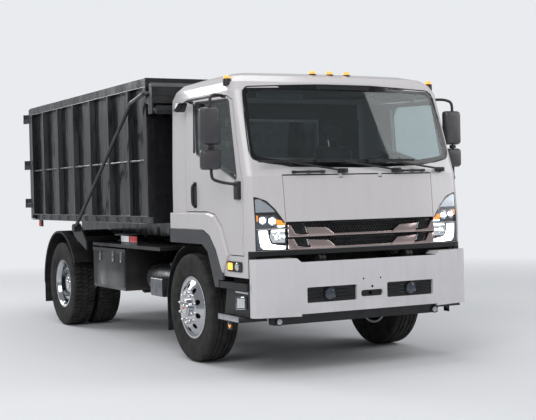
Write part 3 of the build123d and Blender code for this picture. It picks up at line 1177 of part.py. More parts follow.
def build():
    """Every node of the truck by its name."""
    rim_left, tyre_left = front_wheel()
    rims_left, tyres_left = rear_wheel()
    fender_left, fender_right = rear_fenders()
    nodes = {
        "chassis_frame": chassis_frame(),
        "front_bumper": front_bumper(),
        "front_underrun": front_underrun(),
        "engine_gearbox": engine_gearbox(),
        "front_axle": front_axle(),
        "rear_axle": rear_axle(),
        "drive_shaft": drive_shaft(),
        "fuel_tank": fuel_tank(),
        "side_tool_box": side_tool_box(),
        "exhaust_canister": exhaust_canister(),
        "air_tanks": air_tanks(),
        "rear_fenders": group([fender_left, fender_right]),
        "front_mudguards": both(front_mudguards()),
        "cab_steps": both(cab_steps()),
        "rear_lamp_bar": rear_lamp_bar(),
        "hoist_subframe": hoist_subframe(),
        "arm_brackets": both(arm_bracket()),
        "tarp_gantry": tarp_gantry(),
        "tarp_roll": tarp_roll(),
        "knuckle_left": knuckle(),
        "knuckle_right": other_side(knuckle()),
        "front_rim_left": rim_left,
        "front_rim_right": other_side(rim_left),
        "front_tyre_left": tyre_left,
        "front_tyre_right": other_side(tyre_left),
        "rear_rims_left": rims_left,
        "rear_rims_right": other_side(rims_left),
        "rear_tyres_left": tyres_left,
        "rear_tyres_right": group([other_side(solid) for solid in tyres_left.solids()]),
        "cab_flares": both(cab_flare()),
        "dashboard": dashboard(),
        "seats": seats(),
        "mirrors_left": mirror_set(),
        "mirrors_right": other_side(mirror_set()),
        "wipers": wipers(),
        "marker_lamps": marker_lamps(),
        "tilt_frame": tilt_frame(),
        "hook_mast": hook_mast(),
        "container_base": container_base(),
        "container_side_left": container_side(),
        "container_side_right": other_side(container_side()),
        "gate_left": container_gate(),
        "gate_right": other_side(container_gate()),
        "tarp_arms": tarp_arms(),
        "lift_barrels": both(lift_barrel()),
        "lift_rods": both(lift_rod()),
    }
    nodes.update(cab_parts())
    return nodes


os.makedirs("parts", exist_ok=True)
for name, shape in build().items():
    export_step(Pos(0, SHIFT_Y, 0) * shape, f"parts/{name}.step")
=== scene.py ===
"""Dresses the garbage truck's CAD frame: finishes, tread, lamps, cab trim, seats and studio light.

Metres, in the frame's own coordinates: +Z up, the truck faces -Y, +X is its left side. A side's
pieces are drawn on the left, and sign, 1 or -1, takes them to the side that it names.
"""

from __future__ import annotations

import logging
import math
from collections import Counter
from dataclasses import dataclass, field
from enum import Enum
from typing import Callable, ClassVar, Iterable, Sequence

import bmesh  # noqa: E402
import bpy  # noqa: E402
from mathutils import Matrix, Vector, geometry, noise  # noqa: E402
from mathutils.bvhtree import BVHTree  # noqa: E402

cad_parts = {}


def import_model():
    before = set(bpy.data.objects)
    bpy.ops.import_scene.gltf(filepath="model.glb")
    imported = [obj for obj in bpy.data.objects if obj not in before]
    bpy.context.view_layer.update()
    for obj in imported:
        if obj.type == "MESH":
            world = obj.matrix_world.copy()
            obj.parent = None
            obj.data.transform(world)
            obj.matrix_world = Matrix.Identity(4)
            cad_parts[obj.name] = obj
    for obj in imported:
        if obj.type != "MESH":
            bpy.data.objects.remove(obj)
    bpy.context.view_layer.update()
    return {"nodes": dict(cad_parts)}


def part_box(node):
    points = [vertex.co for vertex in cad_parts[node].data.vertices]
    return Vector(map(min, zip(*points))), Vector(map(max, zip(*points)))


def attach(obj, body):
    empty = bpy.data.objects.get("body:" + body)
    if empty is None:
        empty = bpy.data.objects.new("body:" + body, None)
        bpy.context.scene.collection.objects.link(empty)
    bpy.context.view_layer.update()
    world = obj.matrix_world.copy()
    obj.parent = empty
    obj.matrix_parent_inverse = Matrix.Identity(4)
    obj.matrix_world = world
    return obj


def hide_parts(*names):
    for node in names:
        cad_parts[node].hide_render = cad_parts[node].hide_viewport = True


LOG = logging.getLogger("truck")
MM = 0.001
TURN = 2 * math.pi
SIDES = {"left": 1, "right": -1}
SHARP_EDGE = math.radians(32)
FRONT_AXLE = -1.8935

Point = tuple[float, float, float]
Flat = tuple[float, float]
Outline = tuple[Flat, ...]
Block = tuple[Point, Point, float, int]
Colour = tuple[float, float, float, float]


class Axis(Enum):
    """Directions along the truck's own axes."""

    X = 0
    Y = 1
    Z = 2


def aft(place: float) -> float:
    """Place along Y of a point that lies so far behind the front axle."""
    return place + FRONT_AXLE


def behind_axle(path: Sequence[Point]) -> list[Point]:
    """A path whose y is counted from the front axle, in the frame's coordinates."""
    return [(x, aft(y), z) for x, y, z in path]


# Finishes


def linear(hex_colour: str, alpha: float = 1.0) -> Colour:
    """Turns an sRGB hex colour into linear RGBA.

    Args:
        hex_colour: six hex digits, with or without a leading hash.
        alpha: opacity.

    Returns:
        Linear red, green, blue and alpha.
    """
    digits = hex_colour.lstrip("#")
    channels = [int(digits[i:i + 2], 16) / 255 for i in (0, 2, 4)]
    red, green, blue = (c / 12.92 if c <= 0.04045 else ((c + 0.055) / 1.055) ** 2.4 for c in channels)
    return red, green, blue, alpha


def add(tree: bpy.types.NodeTree, kind: str, inputs: dict | None = None,
        **settings: object) -> bpy.types.Node:
    """Adds one node with its settings, and links or sets its inputs.

    Args:
        tree: the node tree.
        kind: the node's type name.
        inputs: input name or index to a value, or to the socket that feeds it.
        settings: properties of the node.

    Returns:
        The new node.
    """
    made = tree.nodes.new(kind)
    for key, value in settings.items():
        setattr(made, key, value)
    for key, value in (inputs or {}).items():
        if isinstance(value, bpy.types.NodeSocket):
            tree.links.new(value, made.inputs[key])
        else:
            made.inputs[key].default_value = value
    return made


class Wiring:
    """A material's nodes round its shader, with the patterns that the finishes share."""

    def __init__(self, material: bpy.types.Material) -> None:
        """Takes up a new material's shader.

        Args:
            material: material whose nodes are made.
        """
        material.use_nodes = True
        self.tree = material.node_tree
        self.shader = self.tree.nodes["Principled BSDF"]

    def out(self, kind: str, inputs: dict, output: str | int = 0, **settings: object) -> bpy.types.NodeSocket:
        """Adds one node and returns one of its outputs."""
        return add(self.tree, kind, inputs, **settings).outputs[output]

    def feed(self, **inputs: object) -> None:
        """Links or sets inputs of the shader.

        Args:
            inputs: value or socket by the input's name, with _ for each space.
        """
        for name, value in inputs.items():
            target = self.shader.inputs[name.replace("_", " ")]
            if isinstance(value, bpy.types.NodeSocket):
                self.tree.links.new(value, target)
            else:
                target.default_value = value

    def place(self, scale: Point = (1, 1, 1)) -> bpy.types.NodeSocket:
        """The object's coordinates, stretched by scale."""
        coordinates = self.out("ShaderNodeTexCoord", {}, "Object")
        return self.out("ShaderNodeMapping", {"Vector": coordinates, "Scale": scale})

    def grain(self, size_mm: float, detail: float = 3.0, scale: Point = (1, 1, 1), low: float = 0.0,
              high: float = 1.0) -> bpy.types.NodeSocket:
        """Noise with its contrast drawn from low..high to 0..1.

        Args:
            size_mm: size of a lump.
            detail: octaves.
            scale: stretch of the coordinates.
            low: value that becomes 0.
            high: value that becomes 1.

        Returns:
            The factor's socket.
        """
        lumps = self.out("ShaderNodeTexNoise", {"Vector": self.place(scale), "Scale": 1 / (size_mm * MM),
                                                "Detail": detail, "Roughness": 0.55}, "Fac")
        return self.out("ShaderNodeMapRange", {"Value": lumps, "From Min": low, "From Max": high})

    def over(self, under: object, dirt: str, factor: object, share: object = 1.0) -> bpy.types.NodeSocket:
        """Lays a second colour over a first one.

        Args:
            under: the first colour, or its socket.
            dirt: the second one as hex.
            factor: where it lies, 0 to 1.
            share: how much of it shows there.

        Returns:
            The mixed colour's socket.
        """
        amount = self.out("ShaderNodeMath", {0: factor, 1: share}, operation="MULTIPLY")
        return self.out("ShaderNodeMix", {"Factor": amount, 6: under, 7: linear(dirt)}, 2, data_type="RGBA")

    def gloss(self, factor: bpy.types.NodeSocket, low: float, high: float) -> None:
        """Draws the roughness from low to high by a factor."""
        self.feed(Roughness=self.out("ShaderNodeMapRange", {"Value": factor, "To Min": low, "To Max": high}))

    def relief(self, height: bpy.types.NodeSocket, depth_mm: float, strength: float, target: str = "Normal",
               **under: bpy.types.NodeSocket) -> bpy.types.NodeSocket:
        """Raises the surface by a height.

        Args:
            height: the height, 0 to 1.
            depth_mm: what 1 stands for.
            strength: how strongly it shows.
            target: the shader's input for it.
            under: Normal, the coarser relief on which it lies.

        Returns:
            The relief's socket.
        """
        inputs = {"Height": height, "Distance": depth_mm * MM, "Strength": strength, **under}
        normal = self.out("ShaderNodeBump", inputs)
        self.tree.links.new(normal, self.shader.inputs[target])
        return normal


@dataclass(frozen=True)
class Finish:
    """A named surface. Subclasses wire their pattern to the shader.

    Attributes:
        name: the material's name, after the real one.
        colour: its colour as sRGB hex.
        rough: roughness.
    """

    name: str
    colour: str
    rough: float

    made: ClassVar[dict[str, bpy.types.Material]] = {}

    def material(self) -> bpy.types.Material:
        """Returns the Blender material, built on first use."""
        if self.name not in Finish.made:
            material = bpy.data.materials.new(self.name)
            wiring = Wiring(material)
            wiring.feed(Base_Color=linear(self.colour), Roughness=self.rough)
            material.diffuse_color = linear(self.colour)
            self.wire(wiring)
            Finish.made[self.name] = material
        return Finish.made[self.name]

    def wire(self, wiring: Wiring) -> None:
        """Adds this finish's own nodes."""


@dataclass(frozen=True)
class Enamel(Finish):
    """Sprayed enamel on sheet steel, with orange peel, road film that thickens downwards, streaks and scuffs.

    Attributes:
        film: colour of the road film.
        cover: how much film lies at the foot.
        top: height in metres at which the film ends.
        foot: height at which it is thickest.
        peel_mm: size of the orange peel's dimples.
        coat: clear coat weight.
        scuff: colour of scuffed places.
        scuffed: 0 for none, 1 for a work-worn skip.
        ripple_mm: depth of the long waves that welding leaves in the sheet.
    """

    film: str = "#6f6a62"
    cover: float = 0.25
    top: float = 1.2
    foot: float = 0.25
    peel_mm: float = 6.0
    coat: float = 0.4
    scuff: str = "#8a8a88"
    scuffed: float = 0.0
    ripple_mm: float = 0.0

    def wire(self, wiring: Wiring) -> None:
        """Wires film, streaks, scuffs, ripple and peel.

        Args:
            wiring: the material's nodes.
        """
        times = {"kind": "ShaderNodeMath", "operation": "MULTIPLY"}
        height = wiring.out("ShaderNodeSeparateXYZ", {0: wiring.place()}, "Z")
        limits = {"Value": height, "From Min": self.top, "From Max": self.foot}
        near_foot = wiring.out("ShaderNodeMapRange", limits)
        patches = wiring.grain(260, 5, low=0.25, high=0.75)
        streaks = wiring.grain(60, 3, (1, 1, 0.07), 0.45, 0.8)
        film = wiring.out(inputs={0: near_foot, 1: patches}, **times)
        film = wiring.out(inputs={0: film, 1: self.cover * 2}, **times)
        colour = wiring.over(linear(self.colour), self.film, film)
        colour = wiring.over(colour, self.film, streaks, self.cover * 0.45)
        if self.scuffed:
            marks = wiring.grain(35, 6, (1, 0.35, 1), 0.62 - 0.06 * self.scuffed, 0.78)
            marks = wiring.out(inputs={0: marks, 1: wiring.grain(500, 2, low=0.42, high=0.7)}, **times)
            colour = wiring.over(colour, self.scuff, marks, 0.75 * self.scuffed)
            wiring.gloss(wiring.grain(180, 4, (1, 1, 0.25), 0.35, 0.7), self.rough * 0.7, self.rough + 0.22)
        else:
            wiring.gloss(film, self.rough, min(self.rough + 0.4, 0.9))
        wiring.feed(Base_Color=colour, Coat_Weight=self.coat, Coat_Roughness=0.12)
        peel = wiring.grain(self.peel_mm, 1)
        if self.ripple_mm:
            waves = wiring.grain(210, 2, (1, 1, 0.3), 0.2, 0.8)
            sheet = wiring.relief(waves, self.ripple_mm, 1.0, "Coat Normal")
            wiring.relief(peel, 0.12, 0.4, Normal=sheet)
        else:
            wiring.relief(peel, 0.12, 0.5)


@dataclass(frozen=True)
class CabEnamel(Enamel):
    """Cab enamel with a near-black strip of painted shade laid over it below the lamps and the grille, where
    the front lies in shadow above the bumper.

    Attributes:
        strip_top: height of the strip's upper edge in metres.
        strip_rear: place along Y where the strip ends.
        strip: the painted shade's colour.
    """

    strip_top: float = 1.093
    strip_rear: float = -3.078
    strip: str = "#0d0e11"

    def wire(self, wiring: Wiring) -> None:
        """Wires the enamel, then lays the strip of painted shade over its colour.

        Args:
            wiring: the material's nodes.
        """
        Enamel.wire(self, wiring)
        place = add(wiring.tree, "ShaderNodeSeparateXYZ", {0: wiring.place()}).outputs
        # Painted shade: near black below the foot of the lamps and grille, ahead of the cab's front corners
        low, front = (wiring.out("ShaderNodeMath", {0: place[way], 1: limit}, operation="LESS_THAN")
                      for way, limit in (("Z", self.strip_top), ("Y", self.strip_rear)))
        enamel = wiring.shader.inputs["Base Color"].links[0].from_socket
        wiring.feed(Base_Color=wiring.over(enamel, self.strip, low, front))


@dataclass(frozen=True)
class BareMetal(Finish):
    """Polished, brushed or cast metal with grime in patches.

    Attributes:
        grime: colour of the grime.
        soiled: amount of grime.
        lump_mm: size of the surface's unevenness.
        depth_mm: its depth.
        metallic: 1 for a bare metal.
    """

    grime: str = "#3a3632"
    soiled: float = 0.2
    lump_mm: float = 4.0
    depth_mm: float = 0.05
    metallic: float = 1.0

    def wire(self, wiring: Wiring) -> None:
        """Wires grime, roughness and unevenness.

        Args:
            wiring: the material's nodes.
        """
        spots = wiring.grain(70, 6, low=0.45, high=0.75)
        amount = wiring.out("ShaderNodeMath", {0: spots, 1: self.soiled}, operation="MULTIPLY")
        wiring.feed(Base_Color=wiring.over(linear(self.colour), self.grime, amount), Metallic=self.metallic)
        wiring.gloss(amount, self.rough, self.rough + 0.45)
        wiring.relief(wiring.grain(self.lump_mm, 2), self.depth_mm, 0.6)


@dataclass(frozen=True)
class Moulded(Finish):
    """Injection-moulded plastic with a leather-like grain and settled dust.

    Attributes:
        dust: colour of the dust.
        dusty: amount of dust.
        grain_mm: size of the mould's grain, drawn coarse enough to show.
        depth_mm: its depth.
    """

    dust: str = "#77736c"
    dusty: float = 0.15
    grain_mm: float = 3.0
    depth_mm: float = 0.2

    def wire(self, wiring: Wiring) -> None:
        """Wires dust and grain.

        Args:
            wiring: the material's nodes.
        """
        patches = wiring.grain(120, 5, low=0.4, high=0.8)
        wiring.feed(Base_Color=wiring.over(linear(self.colour), self.dust, patches, self.dusty))
        wiring.gloss(patches, self.rough - 0.06, self.rough + 0.1)
        cells = {"Vector": wiring.place(), "Scale": 1 / (self.grain_mm * MM)}
        wiring.relief(wiring.out("ShaderNodeTexVoronoi", cells, "Distance"), self.depth_mm, 0.35)


@dataclass(frozen=True)
class TyreRubber(Finish):
    """Vulcanised rubber: dull carbon black, greyed by road dust, with fine mould lines.

    Attributes:
        dust: colour of the dust.
        dusty: amount of dust.
    """

    dust: str = "#4d4a46"
    dusty: float = 0.5

    def wire(self, wiring: Wiring) -> None:
        """Wires dust and the mould's fine texture.

        Args:
            wiring: the material's nodes.
        """
        patches = wiring.grain(90, 6, low=0.35, high=0.75)
        wiring.feed(Base_Color=wiring.over(linear(self.colour), self.dust, patches, self.dusty),
                    Specular_IOR_Level=0.3)
        wiring.relief(wiring.grain(5, 3), 0.3, 0.5)


@dataclass(frozen=True)
class ClearPane(Finish):
    """Float glass or clear polycarbonate, lightly tinted.

    Attributes:
        ior: index of refraction.
    """

    ior: float = 1.45

    def wire(self, wiring: Wiring) -> None:
        """Sets transmission; a faint smear pattern varies the roughness."""
        wiring.feed(Transmission_Weight=1.0, IOR=self.ior)
        wiring.gloss(wiring.grain(140, 4, low=0.3, high=0.8), self.rough, self.rough + 0.05)


@dataclass(frozen=True)
class LampLens(Finish):
    """Lamp lens, coloured or clear, lit from within, with prism ribs. The reflective tapes, the step
    reflectors and the front hub caps take it too, though they are no lamps, so their glow is painted light.

    Attributes:
        glow: emission strength.
        rib_mm: pitch of the prism ribs.
        warm: colour of the light.
    """

    glow: float = 0.0
    rib_mm: float = 8.0
    warm: str = "#ffffff"

    def wire(self, wiring: Wiring) -> None:
        """Wires the ribs and the light.

        Args:
            wiring: the material's nodes.
        """
        pitch = {"Vector": wiring.place(), "Scale": 1 / (self.rib_mm * MM) / TURN}
        ribs = wiring.out("ShaderNodeTexWave", pitch, "Fac")
        shade = wiring.out("ShaderNodeMapRange", {"Value": ribs, "To Min": 0.75, "To Max": 1.0})
        wiring.feed(Base_Color=wiring.over((0.02, 0.02, 0.02, 1), self.colour, shade), Coat_Weight=0.6,
                    Emission_Color=linear(self.warm), Emission_Strength=self.glow)
        wiring.relief(ribs, 0.6, 0.5)


@dataclass(frozen=True)
class Woven(Finish):
    """Woven cloth: two yarns crossing, with a soft sheen.

    Attributes:
        yarn: colour of the second yarn.
        thread_mm: spacing of three threads, drawn coarse enough to show.
        sheen: sheen weight.
        worn: colour of rubbed patches.
    """

    yarn: str = "#26272b"
    thread_mm: float = 4.0
    sheen: float = 0.3
    worn: str = "#5c5a57"

    def wire(self, wiring: Wiring) -> None:
        """Wires warp and weft as two wave patterns.

        Args:
            wiring: the material's nodes.
        """
        pitch = {"Vector": wiring.place(), "Scale": 1 / (self.thread_mm * MM) / TURN * 3}
        warp, weft = (wiring.out("ShaderNodeTexWave", pitch, "Fac", bands_direction=way)
                      for way in ("X", "DIAGONAL"))
        weave = wiring.out("ShaderNodeMath", {0: warp, 1: weft}, operation="MULTIPLY")
        colour = wiring.over(linear(self.colour), self.yarn, weave)
        rubbed = wiring.grain(90, 4, low=0.35, high=0.75)
        wiring.feed(Base_Color=wiring.over(colour, self.worn, rubbed, 0.25), Sheen_Weight=self.sheen)
        wiring.relief(weave, 0.6, 0.6)


class Finishes:
    """The truck's finishes, named for what they are."""

    # Sprayed enamel: a clear gloss with faint dimples that dulls and greys towards the road
    # The cab's white carries a near-black strip of painted shade under the lamps and the grille
    CAB = CabEnamel("white_enamel", "#d4d0d1", 0.32, film="#8f8a82", cover=0.16, top=1.3, coat=0.55)
    BUMPER = Enamel("white_bumper_enamel", "#d8d6d9", 0.36, film="#8b867e", cover=0.2, top=1.0, coat=0.4)
    # The skip's black paint, road film and scuffs are real, but their blue tint is a painted reflection of a
    # bluish light
    BOX = Enamel("black_skip_enamel", "#08090e", 0.20, film="#45474f", cover=0.14, top=2.2, coat=0.9,
                 scuff="#56585f", scuffed=0.4, peel_mm=9.0, ripple_mm=9.0)
    # Pale grey enamel for thin rods along the container's rail edges: a painted highlight where the glossy
    # black edges catch the light
    PAINTED_EDGE_HIGHLIGHT = Enamel("painted_edge_highlight", "#6d6f76", 0.3, film="#4b4c52", cover=0.2, top=2.2, coat=0.4)
    HOIST = Enamel("black_hoist_enamel", "#0e0f12", 0.34, film="#45423f", cover=0.35, top=1.6, coat=0.4,
                   scuff="#48443f", scuffed=0.4)
    CHASSIS = Enamel("chassis_black", "#0c0d0f", 0.46, film="#403c38", cover=0.45, top=1.3, coat=0.15,
                     scuff="#3e362f", scuffed=0.35)
    # Metal: sharp reflections on polish and chrome, broad dull ones on castings, grime in patches
    ALLOY = BareMetal("polished_forged_aluminium", "#c4c6ca", 0.14, soiled=0.12, lump_mm=9.0, depth_mm=0.03)
    CHROME = BareMetal("bright_chrome", "#e4e2e1", 0.06, soiled=0.08, lump_mm=20.0, depth_mm=0.01)
    ROSE_CHROME = BareMetal("satin_grille_chrome", "#cdb9b6", 0.2, soiled=0.06, lump_mm=20.0, depth_mm=0.01)
    STEEL = BareMetal("drawn_steel_tube", "#8e9093", 0.38, soiled=0.45)
    IRON = BareMetal("cast_iron", "#4c4a47", 0.62, soiled=0.6, lump_mm=5.0, depth_mm=0.5, metallic=0.6)
    ROD = BareMetal("hard_chrome_rod", "#d5d7da", 0.1, soiled=0.05)
    REFLECTOR = BareMetal("lamp_reflector", "#e6e8ea", 0.12, soiled=0.02)
    BROW = BareMetal("satin_silver_brow", "#b3b7be", 0.34, soiled=0.05, lump_mm=30.0, depth_mm=0.02)
    TREAD = BareMetal("aluminium_tread_plate", "#c3c5c8", 0.34, soiled=0.25, lump_mm=6.0, depth_mm=0.2)
    MIRROR = BareMetal("silvered_glass", "#dfe4e8", 0.02, soiled=0.02)
    # Moulded plastic: soft highlights broken up by a fine grain, and pale dust
    BLACK = Moulded("black_polypropylene", "#1b1c1f", 0.52)
    FLARE = Moulded("grey_arch_plastic", "#3f4046", 0.5, dusty=0.25)
    # The cab's inner greys are kept dark: partly their own colour, partly painted shade inside the closed cab
    INNER = Moulded("dark_dash_plastic", "#2b2d31", 0.6, dusty=0.1)
    GASKET = Moulded("screen_rubber", "#101113", 0.45, dusty=0.05, grain_mm=6.0, depth_mm=0.05)
    BEZEL = Moulded("blue_grey_bezel", "#59606c", 0.34, dusty=0.08, grain_mm=8.0, depth_mm=0.03)
    GLOSS = Moulded("gloss_black_plastic", "#0c0d11", 0.16, dusty=0.05, grain_mm=12.0, depth_mm=0.02)
    SHELL = Moulded("grey_mirror_shell", "#48474b", 0.36, dusty=0.2, grain_mm=5.0, depth_mm=0.05)
    LINER = Moulded("grey_headliner", "#3a3b3e", 0.8, dusty=0.05, grain_mm=5.0)
    # Rubber: nearly no shine, grey with dust
    TYRE = TyreRubber("tread_rubber", "#1c1c1d", 0.78)
    HOSE = TyreRubber("hydraulic_hose_rubber", "#131314", 0.5, dusty=0.3)
    # Glass and clear plastic: seen through, with sharp reflections
    GLASS = ClearPane("laminated_glass", "#b9c6c8", 0.0)
    COVER = ClearPane("lamp_polycarbonate", "#f4f6f7", 0.0, ior=1.3)
    # Lenses and reflective tape: ribbed, bright in their own colour; the tape's faint glow is painted light
    BEAM = LampLens("lit_led", "#ffffff", 0.1, glow=6.0, rib_mm=14.0)
    FOG = LampLens("dark_fog_lamp", "#3b434e", 0.06, rib_mm=30.0)
    CLEAR = LampLens("ribbed_clear_lens", "#c9ced4", 0.12, glow=0.06)
    AMBER = LampLens("amber_lens", "#f08a1c", 0.2, glow=0.9, warm="#ff9a2a")
    AMBER_LIT = LampLens("lit_amber_dome", "#ffa544", 0.25, glow=1.15, warm="#ffa23a", rib_mm=12.0)
    AMBER_SIDE = LampLens("lit_side_lamp", "#ff9c30", 0.25, glow=2.4, warm="#ffa53c", rib_mm=12.0)
    RED = LampLens("red_lens", "#a3130f", 0.2, glow=0.15, warm="#ff2a1c")
    # The tapes are no lamps: their faint glow is painted light
    RED_TAPE = LampLens("red_reflective_tape", "#b81c1c", 0.3, glow=0.05, warm="#ff2a1c", rib_mm=10.0)
    WHITE_TAPE = LampLens("white_reflective_tape", "#e3e4e6", 0.3, glow=0.05, rib_mm=10.0)
    # Woven cloth: dark and matt, with a pale sheen at the edges
    CLOTH = Woven("seat_cloth", "#2a2b30", 0.85, yarn="#3a3c43")
    TARP = Woven("mesh_tarp", "#15171a", 0.8, yarn="#2e3236", thread_mm=5.0, sheen=0.1)


# Meshes


def quads(rings: int, count: int, wrap: bool = False, loop: bool = True,
          across: bool = False) -> list[tuple[int, ...]]:
    """Faces between neighbouring rings of points.

    Args:
        rings: number of rings.
        count: points of a ring.
        wrap: True to join the last ring to the first.
        loop: False to leave each ring open.
        across: True to run each face across the rings first.

    Returns:
        The faces' vertex indices.
    """
    faces = []
    for ring in range(rings if wrap else rings - 1):
        here, there = ring * count, (ring + 1) % rings * count
        for i in range(count if loop else count - 1):
            j = (i + 1) % count
            face = (here + i, here + j, there + j, there + i)
            faces.append((face[0], face[3], face[2], face[1]) if across else face)
    return faces


def face_outward(mesh: bpy.types.Mesh) -> None:
    """Turns a closed mesh's faces outwards.

    Args:
        mesh: the mesh in the making.
    """
    turned = bmesh.new()
    turned.from_mesh(mesh)
    bmesh.ops.recalc_face_normals(turned, faces=turned.faces)
    turned.to_mesh(mesh)
    turned.free()


def round_off(mesh: bmesh.types.BMesh, edges: Sequence[bmesh.types.BMEdge], width: float) -> None:
    """Rounds edges of a bmesh with two segments."""
    bmesh.ops.bevel(mesh, geom=edges, offset=width, segments=2, profile=0.5, affect="EDGES")


def linked(name: str, data: bpy.types.ID) -> bpy.types.Object:
    """Makes an object and puts it into the scene.

    Args:
        name: the object's name.
        data: its mesh, light or camera.

    Returns:
        The object.
    """
    made = bpy.data.objects.new(name, data)
    bpy.context.scene.collection.objects.link(made)
    return made


@dataclass
class Shape:
    """Vertices and faces that become one piece.

    Attributes:
        points: the vertices.
        faces: vertex indices of each face.
        marks: the finish number of each face.
    """

    points: list[Point] = field(default_factory=list)
    faces: list[tuple[int, ...]] = field(default_factory=list)
    marks: list[int] = field(default_factory=list)

    def take(self, points: Iterable[Sequence[float]], faces: Iterable[Sequence[int]],
             marks: int | Sequence[int] = 0) -> Shape:
        """Adds vertices and the faces between them.

        Args:
            points: new vertices.
            faces: faces on them, counted from the first new one.
            marks: the finish number, or one for each face.

        Returns:
            This shape.
        """
        base = len(self.points)
        self.points.extend(tuple(p) for p in points)
        added = [tuple(base + i for i in face) for face in faces]
        self.faces.extend(added)
        self.marks.extend([marks] * len(added) if isinstance(marks, int) else marks)
        return self

    def join(self, other: Shape) -> Shape:
        """Adds another shape with its finish numbers."""
        return self.take(other.points, other.faces, other.marks)

    def moved(self, matrix: Matrix) -> Shape:
        """A copy moved by a matrix."""
        return Shape([tuple(matrix @ Vector(p)) for p in self.points], list(self.faces), list(self.marks))

    def mirrored(self) -> Shape:
        """A copy for the truck's other side."""
        faces = [tuple(reversed(face)) for face in self.faces]
        return Shape([(-x, y, z) for x, y, z in self.points], faces, list(self.marks))

    def lathe(self, profile: Sequence[Flat], centre: Sequence[float], steps: int = 48, mark: int = 0,
              axis: Axis = Axis.X, sign: int = 1, closed: bool = False) -> Shape:
        """Turns (along, radius) points about an axis through centre.

        Args:
            profile: points of the section.
            centre: point on the axis.
            steps: segments round the axis.
            mark: the finish number.
            axis: the axis.
            sign: -1 to run the section the other way along the axis.
            closed: True if the section is a closed loop; otherwise its ends are capped.

        Returns:
            This shape.
        """
        first, second, third = {Axis.X: (0, 1, 2), Axis.Y: (1, 2, 0), Axis.Z: (2, 0, 1)}[axis]
        points = []
        for k in range(steps):
            turn = TURN * k / steps
            for along, radius in profile:
                place = [0.0, 0.0, 0.0]
                place[first] = centre[first] + along * sign
                place[second] = centre[second] + radius * math.cos(turn)
                place[third] = centre[third] + radius * math.sin(turn)
                points.append(tuple(place))
        count = len(profile)
        faces = quads(steps, count, wrap=True, loop=closed, across=True)
        if not closed:
            faces.append(tuple(k * count for k in range(steps)))
            faces.append(tuple(k * count + count - 1 for k in reversed(range(steps))))
        return self.take(points, faces, mark)

    def loft(self, rings: Sequence[Sequence[Sequence[float]]], mark: int = 0) -> Shape:
        """Joins closed rings of equally many points and caps both ends.

        Args:
            rings: the rings, in order.
            mark: the finish number.

        Returns:
            This shape.
        """
        count, last = len(rings[0]), len(rings) - 1
        faces = quads(len(rings), count)
        faces.append(tuple(reversed(range(count))))
        faces.append(tuple(last * count + i for i in range(count)))
        return self.take([p for ring in rings for p in ring], faces, mark)

    def tube(self, path: Sequence[Sequence[float]], radius: float, sides: int = 12, mark: int = 0) -> Shape:
        """Runs a round tube along a path, its ends capped.

        Args:
            path: points of the tube's centre line.
            radius: the tube's radius.
            sides: corners of its section.
            mark: the finish number.

        Returns:
            This shape.
        """
        line = [Vector(p) for p in path]
        rings = []
        side = None
        for k, here in enumerate(line):
            ahead = (line[min(k + 1, len(line) - 1)] - line[max(k - 1, 0)]).normalized()
            if side is None:
                side = ahead.orthogonal().normalized()
            side = (side - ahead * side.dot(ahead)).normalized()
            other = ahead.cross(side)
            turns = [TURN * s / sides for s in range(sides)]
            rings.append([here + side * radius * math.cos(t) + other * radius * math.sin(t) for t in turns])
        return self.loft(rings, mark)

    def block(self, low: Sequence[float], high: Sequence[float], round_mm: float = 3.0, mark: int = 0,
              sign: int = 1) -> Shape:
        """Adds a box whose edges are rounded off.

        Args:
            low: one corner.
            high: the opposite corner.
            round_mm: width of the rounded edge.
            mark: the finish number.
            sign: -1 for the truck's right side.

        Returns:
            This shape.
        """
        pairs = [(a, b) for a, b in zip(low, high)]
        pairs[0] = (low[0] * sign, high[0] * sign)
        size = [abs(b - a) for a, b in pairs]
        middle = [(a + b) / 2 for a, b in pairs]
        mesh = bmesh.new()
        bmesh.ops.create_cube(mesh, size=1.0, matrix=Matrix.Translation(middle) @ Matrix.Diagonal((*size, 1)))
        round_off(mesh, mesh.edges[:], min(round_mm * MM, min(size) * 0.3))
        return self.drain(mesh, mark)

    def blocks(self, rows: Sequence[Block], sign: int = 1) -> Shape:
        """Adds a table of boxes whose y is counted from the front axle.

        Args:
            rows: each box's two corners, its rounding in mm and its finish number.
            sign: -1 for the truck's right side.

        Returns:
            This shape.
        """
        for low, high, round_mm, mark in rows:
            self.block(*behind_axle([low, high]), round_mm, mark, sign)
        return self

    def prism(self, outline: Sequence[Flat], axis: Axis, low: float, high: float, round_mm: float = 0.0,
              mark: int = 0) -> Shape:
        """Draws an outline out along an axis.

        Args:
            outline: points in the two other axes, in X, Y, Z order.
            axis: direction of the extrusion.
            low: its start.
            high: its end.
            round_mm: width of the rounded rims.
            mark: the finish number.

        Returns:
            This shape.
        """
        mesh = bmesh.new()
        rings = []
        for along in (low, high):
            ring = []
            for a, b in outline:
                place = {Axis.X: (along, a, b), Axis.Y: (a, along, b), Axis.Z: (a, b, along)}[axis]
                ring.append(mesh.verts.new(place))
            rings.append(ring)
        corners = rings[0] + rings[1]
        for face in quads(2, len(outline)):
            mesh.faces.new([corners[i] for i in face])
        caps = [mesh.faces.new(ring) for ring in rings]
        bmesh.ops.recalc_face_normals(mesh, faces=mesh.faces)
        if round_mm:
            round_off(mesh, list({edge for cap in caps for edge in cap.edges}), round_mm * MM)
        return self.drain(mesh, mark)

    def drain(self, mesh: bmesh.types.BMesh, mark: int = 0) -> Shape:
        """Moves a bmesh's faces into this shape and frees it.

        Args:
            mesh: the mesh in the making.
            mark: index of its finish.

        Returns:
            The shape.
        """
        mesh.verts.index_update()
        self.take([v.co[:] for v in mesh.verts], [[v.index for v in f.verts] for f in mesh.faces], mark)
        mesh.free()
        return self

    def mesh(self, name: str) -> bpy.types.Mesh:
        """The shape as a bare mesh.

        Args:
            name: the object's name.

        Returns:
            The mesh.
        """
        made = bpy.data.meshes.new(name)
        made.from_pydata(self.points, [], self.faces)
        return made

